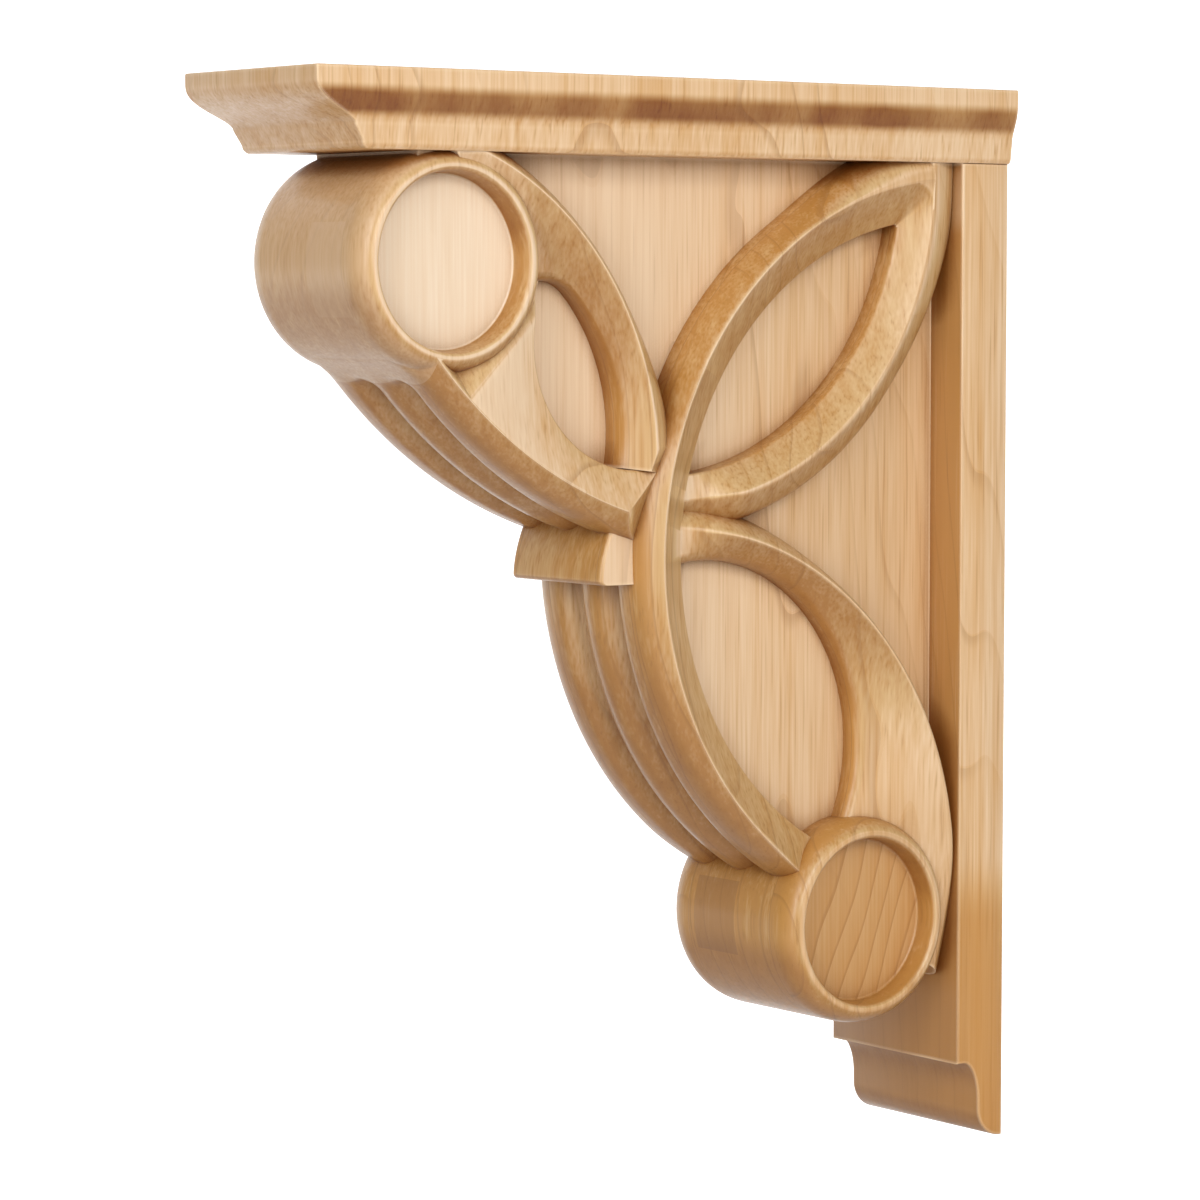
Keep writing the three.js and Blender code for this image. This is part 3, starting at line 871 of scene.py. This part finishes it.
def arm_shape(carving, arm):
    """The ribbons of an arm, on both sides; an arm with a rise grows out of its recess edge."""
    outlines = []
    for along in evenly(RIBBON_STEPS):
        ridge = arm.ridge.spot(along)
        away = ridge - arm.edge.spot(along)
        breadth = away.length
        away.normalize()
        top, lip = arm.top_at(along), carving.ribbon_lip
        if arm.rise:
            risen = ease(0, arm.rise, along)
            top, lip = mix(lip, top, risen), mix(lip, FRONT_ARM_LIP, risen)
        section = ribbon_section(
            breadth, top, lip, arm.lip_round, arm.spread_at(along), arm.bow_at(along), arm.shelf
        )
        outlines.append([ridge + away * out + Vector((x, 0, 0)) for out, x in section])
    return both_sides(loft(outlines))


def parting_shape():
    """The wood that the slanting cut takes away: a block whose lower face lies in the cut."""
    shape = block((-CLEAR, -CLEAR, 0), (CLEAR, CLEAR, 2 * CLEAR))
    turn = Vector((0, 0, 1)).rotation_difference(PARTING_FACING).to_matrix()
    bmesh.ops.rotate(shape, verts=shape.verts, cent=(0, 0, 0), matrix=turn)
    bmesh.ops.translate(shape, verts=shape.verts, vec=PARTING_POINT)
    return shape


def tip_shape():
    """The flat web between the leaf tip, the cap and the back plate; it follows the two ridges."""
    stem_radius = STEM_RIDGE.radius - TIP_LAP
    arm_radius = UPPER_ARM_RIDGE.radius - TIP_LAP

    def stem_height(y):
        return STEM_RIDGE.axis.z + math.sqrt(stem_radius ** 2 - (y - STEM_RIDGE.axis.y) ** 2)

    def arm_depth(z):
        return UPPER_ARM_RIDGE.axis.y + math.sqrt(arm_radius ** 2 - (z - UPPER_ARM_RIDGE.axis.z) ** 2)

    meeting = arm_depth(UPPER_ARM_RIDGE.axis.z)
    meeting_height = stem_height(meeting)
    outline = [side_spot(PLATE_FRONT, SOFFIT), side_spot(TIP_FRONT, SOFFIT)]
    for share in evenly(TIP_STEPS):
        y = mix(TIP_FRONT, meeting, share)
        outline.append(side_spot(y, stem_height(y)))
    for share in evenly(TIP_STEPS)[1:]:
        z = mix(meeting_height, TIP_BOTTOM - TIP_SLANT, share)
        outline.append(side_spot(arm_depth(z), z))
    outline.append(side_spot(PLATE_FRONT, TIP_BOTTOM))
    return across(outline, TIP_HALF)


def meeting_spot(first, first_radius, second, second_radius):
    """Where two circles in the side plane cross, on the side nearer to the wall."""
    between = second - first
    along = (first_radius ** 2 - second_radius ** 2 + between.length_squared) / (2 * between.length)
    aside = math.sqrt(first_radius ** 2 - along ** 2)
    between.normalize()
    spots = [first + between * along + side_spot(-between.z, between.y) * way for way in (aside, -aside)]
    return max(spots, key=lambda spot: spot.y)


def swung(spot, axis, angle):
    return axis + Matrix.Rotation(angle, 3, "X") @ (spot - axis)


def tip_hollow_shape(carving):
    """Wood that rounds the hollow corner where the stem and the upper arm meet at the leaf's tip."""
    stem_axis = STEM_EDGE.axis
    arm_axis = UPPER_ARM_EDGE.axis
    levels = []
    for share in evenly(HOLLOW_STEPS):
        stem_radius = mix(STEM_EDGE.radius, STEM_RIDGE.radius, share)
        arm_radius = mix(UPPER_ARM_EDGE.radius, UPPER_ARM_RIDGE.radius, share)
        corner = meeting_spot(stem_axis, stem_radius, arm_axis, arm_radius)
        reach = mix(HOLLOW_LOW, HOLLOW_HIGH, share)
        first = swung(corner, stem_axis, reach / stem_radius)
        last = swung(corner, arm_axis, -reach / arm_radius)
        outward = (2 * corner - first - last).normalized()
        outline = curve(first, corner, last, HOLLOW_CURVE_STEPS)
        outline.append(corner + outward * mix(HOLLOW_BACK, 0, share))
        levels.append((mix(carving.ribbon_lip, HALF - HOLLOW_DROP, share), outline))
    levels.insert(0, (ROOT_HALF, levels[0][1]))
    return both_sides(loft([[spot + Vector((x, 0, 0)) for spot in outline] for x, outline in levels]))


def collar_shape():
    outlines = []
    for share in evenly(COLLAR_STEPS):
        along = 1 - (1 - share) ** 2
        z = mix(COLLAR_TOP, COLLAR_BOTTOM, along)
        flare = mix(COLLAR_FRONT_TOP, COLLAR_FRONT_BOTTOM, math.sin(along * math.pi / 2))
        front = flare + round_inset(COLLAR_LIP - (z - COLLAR_BOTTOM), COLLAR_LIP)
        outlines.append(level_outline(COLLAR_HALF, front, COLLAR_BACK, z, COLLAR_CORNER))
    return loft(outlines)


def carved_body(carving):
    arms = [arm_shape(carving, arm) for arm in (FRONT_LEAF_BACK, FRONT_LEAF_FRONT)]
    belly = belly_shape(carving, UPPER_BELLY, upper_belly_radius, lambda along: HALF)
    front_leaf = worked("front_leaf", belly, arms, "UNION")
    front_leaf = worked("front_leaf", front_leaf, [both_sides(parting_shape())], "DIFFERENCE")
    neck = block((-NECK_HALF, NECK_FRONT, SOFFIT - NECK_HEIGHT), (NECK_HALF, UPPER_SCROLL.y, SOFFIT))
    parts = [
        belly_shape(carving, LOWER_BELLY, lower_belly_radius, lower_belly_half),
        collar_shape(),
        tip_shape(),
        tip_hollow_shape(carving),
        neck,
        *(arm_shape(carving, arm) for arm in (STEM, UPPER_ARM, LOWER_ARM)),
        front_leaf,
    ]
    body = worked("carved_body_shape", core_shape(), parts, "UNION")
    seats = [seat_shape(carving, axis) for axis in (UPPER_SCROLL, LOWER_SCROLL)]
    body = worked("carved_body_shape", body, seats, "DIFFERENCE")
    scrolls = [scroll_shape(carving, axis) for axis in (UPPER_SCROLL, LOWER_SCROLL)]
    body = worked("carved_body_shape", body, scrolls, "UNION")
    above = block((-CLEAR, CAP_LOW.y - CLEAR, SOFFIT), (CLEAR, CLEAR, TOP + CLEAR))
    behind = block((-CLEAR, PLATE_FRONT, BOTTOM - CLEAR), (CLEAR, CLEAR, TOP + CLEAR))
    crevice = block(
        (TIP_INNER_HALF, PLATE_FRONT - TIP_CREVICE, TIP_BOTTOM - TIP_SLANT),
        (CLEAR, PLATE_FRONT + MM, SOFFIT + MM),
    )
    return worked("carved_body_shape", body, [above, behind, both_sides(crevice)], "DIFFERENCE")


def sums(operation, swapped=False):
    """A sum of a Value, made by a Math node on its sheet."""

    def summed(self, other=0.0):
        first, second = (other, self) if swapped else (self, other)
        return self.sheet.node("ShaderNodeMath", {"operation": operation}, {0: first, 1: second})

    return summed


class Value:
    """A shader socket that can be used in sums, on either side."""

    def __init__(self, sheet, socket):
        self.sheet = sheet
        self.socket = socket

    __add__ = __radd__ = sums("ADD")
    __sub__ = sums("SUBTRACT")
    __rsub__ = sums("SUBTRACT", swapped=True)
    __mul__ = __rmul__ = sums("MULTIPLY")
    __truediv__ = sums("DIVIDE")
    __rtruediv__ = sums("DIVIDE", swapped=True)
    __pow__ = sums("POWER")
    __gt__ = sums("GREATER_THAN")
    __lt__ = sums("LESS_THAN")
    __abs__ = sums("ABSOLUTE")
    part = sums("FRACT")
    root = sums("SQRT")

    def __neg__(self):
        return 0 - self

    def ramp(self, start, rise):
        return start + rise * self


class Finish:
    """A procedural finish and the nodes that it is made of."""

    def __init__(self, name):
        self.material = bpy.data.materials.new(name)
        self.material.use_nodes = True
        self.nodes = self.material.node_tree.nodes
        self.links = self.material.node_tree.links
        self.shader = self.nodes["Principled BSDF"]
        self.place = self.node("ShaderNodeTexCoord", output="Object")
        self.x, self.y, self.z = self.split(self.place)

    def node(self, kind, settings=None, sockets=None, output=0):
        made = self.nodes.new(kind)
        for key, value in (settings or {}).items():
            setattr(made, key, value)
        for key, value in (sockets or {}).items():
            if isinstance(value, Value):
                self.links.new(value.socket, made.inputs[key])
            else:
                made.inputs[key].default_value = value
        return Value(self, made.outputs[output])

    def split(self, vector):
        return [self.node("ShaderNodeSeparateXYZ", {}, {0: vector}, axis) for axis in "XYZ"]

    def noise(self, vector, detail, rough):
        sockets = {"Vector": vector, "Scale": 1, "Detail": detail, "Roughness": rough}
        return self.node("ShaderNodeTexNoise", {}, sockets)

    def step(self, value, low, high):
        settings = {"interpolation_type": "SMOOTHSTEP"}
        sockets = {"Value": value, "From Min": low, "From Max": high}
        return self.node("ShaderNodeMapRange", settings, sockets)

    def blend(self, factor, first, second, mode="MIX"):
        settings = {"data_type": "RGBA", "blend_type": mode, "clamp_factor": True}
        sockets = {MIX_FACTOR: factor}
        for key, tone in ((MIX_FIRST, first), (MIX_SECOND, second)):
            sockets[key] = tone if isinstance(tone, Value) else (*tone, 1)
        return self.node("ShaderNodeMix", settings, sockets, MIX_RESULT)

    # Multiplies a tone over the base where asked: a real tint in some places, painted shade in others.
    def tint_and_shade(self, base, where, share, tone):
        return self.blend(share * where, base, tone, "MULTIPLY")

    def corners(self, reach, inside):
        """How far the surface is closed in: by hollow corners, or from inside by sharp edges."""
        settings = {"samples": CORNER_SAMPLES, "inside": inside}
        return 1 - self.node("ShaderNodeAmbientOcclusion", settings, {"Distance": reach}, "AO")

    def about(self, value, middle, reach):
        return self.node("ShaderNodeMath", {"operation": "COMPARE"}, {0: value, 1: middle, 2: reach})

    def set(self, name, value):
        if isinstance(value, Value):
            self.links.new(value.socket, self.shader.inputs[name])
        else:
            self.shader.inputs[name].default_value = value


class Grain:
    """Figure of one glued-up block: vertical grain whose pattern jumps from board to board."""

    def __init__(self, finish, seed, board_edge):
        self.finish = finish
        self.shift = [seed * shift for shift in SEED_SHIFT]
        self.board = 0
        self.vector = finish.place
        if board_edge:
            self.board = (finish.x > board_edge) + 2 * (finish.x < -board_edge)
            sockets = {axis: self.board * shift for axis, shift in enumerate(BOARD_SHIFT)}
            jump = finish.node("ShaderNodeCombineXYZ", {}, sockets)
            add = {"operation": "ADD"}
            self.vector = finish.node("ShaderNodeVectorMath", add, {0: finish.place, 1: jump})
        self.broad = self.noise(BROAD_SCALE, 1)
        self.mottle = self.noise(MOTTLE_SCALE, 0)
        self.fibre = self.noise(FIBRE_SCALE, 1)
        self.streak = self.noise(STREAK_SCALE, 2, STREAK_ROUGHNESS)

    def noise(self, scale, detail, rough=0.5):
        sockets = {"Vector": self.vector, "Scale": scale, "Location": self.shift}
        mapped = self.finish.node("ShaderNodeMapping", {}, sockets)
        return self.finish.noise(mapped, detail, rough)

    def ring(self):
        """How far a spot lies between two year rings, from 0 to 1."""
        finish = self.finish
        wander = self.broad - 0.5
        side = finish.x + HEART_X + HEART_WANDER[0] * wander + HEART_JUMP[0] * self.board
        depth = finish.y + HEART_Y + HEART_SLANT * finish.z
        depth = depth + HEART_WANDER[1] * wander + HEART_JUMP[1] * self.board
        away = (side * side + depth * depth).root()
        return (away / RING_WIDTH + RING_WAVER * (self.mottle - 0.5)).part()


def wood_finish(name, wood, detail, seed, tint, tint_and_shade, underside_glaze_and_shade, board_edge=None):
    """Straight-grained pale wood under a brown wiped glaze and a satin clear coat, with painted shade in
    corners, on undersides, on faces turned from the sides and towards the bottom, and painted highlights
    along sharp edges.
    """
    finish = Finish(name)
    grain = Grain(finish, seed, board_edge)
    facing = finish.split(finish.node("ShaderNodeNewGeometry", output="Normal"))
    lean = 1 - abs(facing[0])
    # Masks for painted shade: faces turned from the lit sides, faces that look down, and the lower part of
    # the piece.
    turned_away = finish.step(lean, *TURNED_AWAY)
    under = finish.step(-facing[2], *UNDERSIDE)
    low = finish.step(-finish.z, 0, LOW_END)
    ring = grain.ring()
    line = finish.step(ring, *RING_EDGE) * (ring < RING_END) * finish.step(grain.broad, *RING_FADE)
    pores = finish.step(grain.fibre, *PORE_EDGE)

    warm = tint + WARM_START + WARM_RING * ring ** RING_POWER
    for pattern, amount in WARM_SHARES.items():
        warm = warm + amount * getattr(grain, pattern)
    # Painted shade: faces turned from the sides, undersides and the lower part of the piece get more honey.
    warm = warm + tint_and_shade * turned_away + WARM_UNDER * under + WARM_LOW * low
    if board_edge:
        warm = warm + WARM_OUTER_BOARD * (abs(finish.x) > board_edge)
    base = finish.blend(warm, wood.pale, wood.honey)
    base = finish.blend(LINE_SHARE * line + PORE_SHARE * pores, base, wood.line)
    base = detail(finish, wood, base, grain, lean)

    # Brown in closed-in corners: partly real glaze, partly painted shade. It is added to the painted shade
    # under things and on faces turned from the sides.
    closed = finish.corners(CORNER_REACH, False)
    deep, soft = (share * finish.step(closed, *edge) for share, *edge in (CORNER_DEEP, CORNER_SOFT))
    hollow = deep + soft
    glaze_and_shade = hollow + underside_glaze_and_shade * under + TURNED_AWAY_SHADE * tint_and_shade * turned_away
    glaze_and_shade = glaze_and_shade * grain.streak.ramp(*GLAZE_AND_SHADE_STREAKS)
    base = finish.tint_and_shade(base, glaze_and_shade, wood.glaze_and_shade_amount, wood.glaze_and_shade)
    # Sharp edges lightened: partly rubbed wear, partly a painted highlight.
    edge_wear_and_highlight = finish.step(finish.corners(EDGE_REACH, True), *EDGE_WEAR_AND_HIGHLIGHT)
    edge_wear_and_highlight = edge_wear_and_highlight * grain.mottle.ramp(*EDGE_PATCHY)
    base = finish.blend(edge_wear_and_highlight * wood.wear_and_highlight_amount, base, wood.wear_and_highlight)

    finish.set("Base Color", base)
    finish.set("Roughness", wood.gloss + ROUGH_START + ROUGH_FIBRE * grain.fibre + ROUGH_CORNER * hollow)
    finish.set("Coat Weight", COAT_WEIGHT)
    finish.set("Coat Roughness", COAT_ROUGHNESS)
    finish.set("Specular IOR Level", SPECULAR)
    chatter = grain.noise(CHATTER_SCALE, 0)
    sockets = {"Strength": CHATTER_STRENGTH, "Distance": CHATTER_DEPTH, "Height": chatter}
    finish.set("Normal", finish.node("ShaderNodeBump", {}, sockets, "Normal"))
    return finish.material


def cap_detail(finish, wood, base, grain, lean):
    """Painted shade, in the brown of the glaze, along the hollow of the ogee on both sides."""
    band = finish.step(finish.z, *OGEE_LOW) * (1 - finish.step(finish.z, *OGEE_HIGH))
    band = band * finish.step(1 - lean, *SIDE_FACING)
    base = finish.tint_and_shade(base, band, *OGEE_TINT)
    return finish.tint_and_shade(base, band, grain.mottle.ramp(*OGEE_SHADE), wood.glaze_and_shade)


def plate_detail(finish, wood, base, grain, lean):
    """The foot of the board warmer and darker, and its clean front edge beside the leaf's tip."""
    foot = 1 - finish.step(finish.z, *FOOT_FADE)
    base = finish.blend(FOOT_HONEY * foot, base, wood.honey)
    sides = foot * finish.step(1 - lean, *SIDE_FACING)
    base = finish.tint_and_shade(base, sides, *FOOT_TINT)
    base = finish.tint_and_shade(base, foot, FOOT_DARKENING, wood.glaze_and_shade)
    head = finish.step(finish.z, *HEAD_FADE) * (finish.y < PLATE_FRONT + MM)
    return finish.blend(HEAD_PALE * head, base, wood.pale)


def carved_detail(finish, wood, base, grain, lean):
    """Tones of the panels, painted shade on the slopes and steep faces, the glue lines, the discs and the
    patches of the scrolls.
    """
    x, y, z = finish.x, finish.y, finish.z
    outer = abs(x)

    def disc(axis):
        away = ((y - axis.y) * (y - axis.y) + (z - axis.z) * (z - axis.z)).root()
        return (away < DISC_FIGURE_RADIUS) * (outer > DISC_FIGURE_INNER)

    def patch(axis, left, right, top, bottom):
        across_patch = finish.about(x, (left + right) / 2 * MM, (right - left) / 2 * MM)
        along_patch = finish.about(z, TOP - (top + bottom) / 2 * MM, (bottom - top) / 2 * MM)
        return across_patch * along_patch * (y < axis.y - PATCH_FRONT)

    upper_disc = disc(UPPER_SCROLL)
    flat = (1 - finish.step(lean, *FLAT_EDGE)) * (1 - upper_disc)
    base = finish.blend(FRONT_BARE * flat * finish.step(-y, *FRONT_FADE), base, wood.bare)
    base = finish.tint_and_shade(base, flat * finish.step(y, *BACK_FADE), *BACK_TINT)
    # Painted shade on slopes and steep faces that turn from the sides.
    sloped = finish.step(lean, *SLOPE_START) * (1 - finish.step(lean, *SLOPE_END))
    base = finish.tint_and_shade(base, sloped, *SLOPE_SHADE)
    base = finish.tint_and_shade(base, finish.step(lean, *STEEP), *STEEP_SHADE)
    glue_line = finish.about(outer, CARVED_TONE["board_edge"], GLUE_LINE_HALF)
    base = finish.blend(GLUE_LINE_SHARE * glue_line, base, wood.line)

    base = finish.blend(upper_disc * grain.fibre.ramp(*UPPER_DISC_BARE), base, wood.bare)
    lower_disc = disc(LOWER_SCROLL)
    slant = ((y - SLANT_LEAN * z) / SLANT_WIDTH + SLANT_WAVER * grain.mottle).part()
    pale_start, pale_slant, pale_fibre = LOWER_DISC_PALE
    pale = pale_start + pale_slant * slant + pale_fibre * grain.fibre
    base = finish.blend(LOWER_DISC_HONEY * lower_disc, base, wood.honey)
    base = finish.blend(lower_disc * pale, base, wood.pale)
    base = finish.blend(SLANT_LINE_SHARE * lower_disc * finish.step(slant, *SLANT_LINE), base, wood.line)
    base = finish.tint_and_shade(base, lower_disc, *LOWER_DISC_TINT)

    scroll_front = (y < SCROLL_FRONT_BACK) * finish.step(lean, *SCROLL_FRONT_TURN)
    base = finish.blend(scroll_front * grain.fibre.ramp(*SCROLL_FRONT_PALE), base, wood.pale)
    base = finish.blend(UPPER_PATCH_SHARE * patch(UPPER_SCROLL, *UPPER_PATCH), base, wood.pale)
    return finish.blend(LOWER_PATCH_SHARE * patch(LOWER_SCROLL, *LOWER_PATCH), base, wood.line)


class CORBEL_OT_cap(bpy.types.Operator):
    """Models the moulded cap"""

    bl_idname = "corbel.cap"
    bl_label = "Cap"

    def execute(self, context):
        scene = context.scene
        piece = cleaned(placed("moulded_cap", cap_shape(scene.corbel_cap)))
        finish = wood_finish("Cap wood", scene.corbel_wood, cap_detail, **CAP_TONE)
        dressed(piece, "cap", finish)
        return {"FINISHED"}


class CORBEL_OT_back_plate(bpy.types.Operator):
    """Models the back plate with its moulded tail"""

    bl_idname = "corbel.back_plate"
    bl_label = "Back plate"

    def execute(self, context):
        scene = context.scene
        piece = cleaned(placed("wall_board", plate_shape(scene.corbel_plate)))
        finish = wood_finish("Plate wood", scene.corbel_wood, plate_detail, **PLATE_TONE)
        dressed(piece, "back_plate", finish)
        return {"FINISHED"}


class CORBEL_OT_carved_body(bpy.types.Operator):
    """Models the carved body: scrolls, leaves of ribbon, reeds and collar"""

    bl_idname = "corbel.carved_body"
    bl_label = "Carved body"

    def execute(self, context):
        scene = context.scene
        piece = cleaned(carved_body(scene.corbel_carving))
        finish = wood_finish("Carved wood", scene.corbel_wood, carved_detail, **CARVED_TONE)
        dressed(piece, "carved_body", finish)
        return {"FINISHED"}


class CORBEL_OT_stage(bpy.types.Operator):
    """Sets the pale floor, the soft lights and the camera"""

    bl_idname = "corbel.stage"
    bl_label = "Stage"

    def execute(self, context):
        scene = context.scene
        stage = scene.corbel_stage
        self.camera(scene, stage)
        self.floor(stage)
        self.light("Key light", KEY_PLACE, KEY_SIZE, stage.key)
        self.light("Fill light", FILL_PLACE, FILL_SIZE, stage.fill)
        world = bpy.data.worlds.new("Studio")
        world.use_nodes = True
        sky = world.node_tree.nodes["Background"]
        sky.inputs["Color"].default_value = (1, 1, 1, 1)
        sky.inputs["Strength"].default_value = stage.sky
        scene.world = world
        scene.view_settings.view_transform = "Standard"
        return {"FINISHED"}

    def camera(self, scene, stage):
        lens = bpy.data.cameras.new("Camera")
        lens.lens = stage.lens
        lens.sensor_width = SENSOR_WIDTH
        camera = bpy.data.objects.new("Camera", lens)
        camera.location = CAMERA_PLACE
        camera.rotation_euler = (math.radians(CAMERA_TILT), 0, math.radians(CAMERA_TURN))
        scene.collection.objects.link(camera)
        scene.camera = camera

    def floor(self, stage):
        """A flat floor that curves up behind the corbel, square to the camera."""
        ground = BOTTOM - stage.floor_drop
        bend = side_spot(WALL_BACK, ground)
        wall_foot = bend + side_spot(0, WALL_BACK - FLOOR_BACK)
        rise = curve(side_spot(FLOOR_BACK, ground), bend, wall_foot, FLOOR_STEPS)
        profile = [side_spot(-FLOOR_REACH, ground), *rise, side_spot(WALL_BACK, FLOOR_REACH)]
        sheet = bmesh.new()
        verts = [sheet.verts.new(spot - Vector((FLOOR_REACH, 0, 0))) for spot in profile]
        edges = [sheet.edges.new(pair) for pair in zip(verts, verts[1:])]
        made = bmesh.ops.extrude_edge_only(sheet, edges=edges)["geom"]
        moved = [item for item in made if isinstance(item, bmesh.types.BMVert)]
        bmesh.ops.translate(sheet, verts=moved, vec=(2 * FLOOR_REACH, 0, 0))
        turn = Matrix.Rotation(math.radians(CAMERA_TURN), 3, "Z")
        bmesh.ops.rotate(sheet, verts=sheet.verts, cent=(0, 0, 0), matrix=turn)
        bmesh.ops.recalc_face_normals(sheet, faces=sheet.faces)
        for face in sheet.faces:
            face.smooth = True
        floor = placed("floor", sheet)
        floor.data.materials.append(self.floor_finish(stage))
        floor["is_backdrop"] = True

    def floor_finish(self, stage):
        """A pale floor that glows white well behind the corbel."""
        finish = Finish("Pale floor")
        back = Vector((-math.sin(math.radians(CAMERA_TURN)), math.cos(math.radians(CAMERA_TURN)), 0))
        dot = {"operation": "DOT_PRODUCT"}
        behind = finish.node("ShaderNodeVectorMath", dot, {0: finish.place, 1: back}, "Value")
        glow = finish.step(behind, *FLOOR_GLOW)
        finish.set("Base Color", (*stage.floor, 1))
        finish.set("Roughness", FLOOR_ROUGHNESS)
        finish.set("Emission Color", finish.blend(glow, BLACK, WHITE))
        finish.set("Emission Strength", stage.glow)
        return finish.material

    def light(self, name, place, size, power):
        lamp = bpy.data.lights.new(name, "AREA")
        lamp.shape = "RECTANGLE"
        lamp.size, lamp.size_y = size
        lamp.energy = power
        light = bpy.data.objects.new(name, lamp)
        light.location = place
        aim = LIGHT_AIM - light.location
        light.rotation_euler = aim.to_track_quat("-Z", "Y").to_euler()
        bpy.context.scene.collection.objects.link(light)


class CORBEL_PT_panel(bpy.types.Panel):
    """Lists the pieces of the corbel and the stage"""

    bl_idname = "CORBEL_PT_panel"
    bl_label = "Corbel"
    bl_space_type = "VIEW_3D"
    bl_region_type = "UI"
    bl_category = "Corbel"

    def draw(self, context):
        for operator in OPERATORS:
            self.layout.operator(operator.bl_idname)


OPERATORS = (CORBEL_OT_stage, CORBEL_OT_cap, CORBEL_OT_back_plate, CORBEL_OT_carved_body)
SETTINGS = {
    "corbel_cap": CapSettings,
    "corbel_plate": PlateSettings,
    "corbel_carving": CarvingSettings,
    "corbel_wood": WoodSettings,
    "corbel_stage": StageSettings,
}


def register():
    for settings in SETTINGS.values():
        bpy.utils.register_class(settings)
    for name, settings in SETTINGS.items():
        setattr(bpy.types.Scene, name, bpy.props.PointerProperty(type=settings))
    for item in (*OPERATORS, CORBEL_PT_panel):
        bpy.utils.register_class(item)


def unregister():
    for item in (CORBEL_PT_panel, *reversed(OPERATORS)):
        bpy.utils.unregister_class(item)
    for name, settings in SETTINGS.items():
        delattr(bpy.types.Scene, name)
        bpy.utils.unregister_class(settings)


def main():
    register()
    bpy.ops.corbel.stage()
    bpy.ops.corbel.cap()
    bpy.ops.corbel.back_plate()
    bpy.ops.corbel.carved_body()
    boxes = {"cad": CAD_BOX, "visual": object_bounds()}
    {name: [list(corner) for corner in box] for name, box in boxes.items()}


if __name__ == "__main__":
    main()
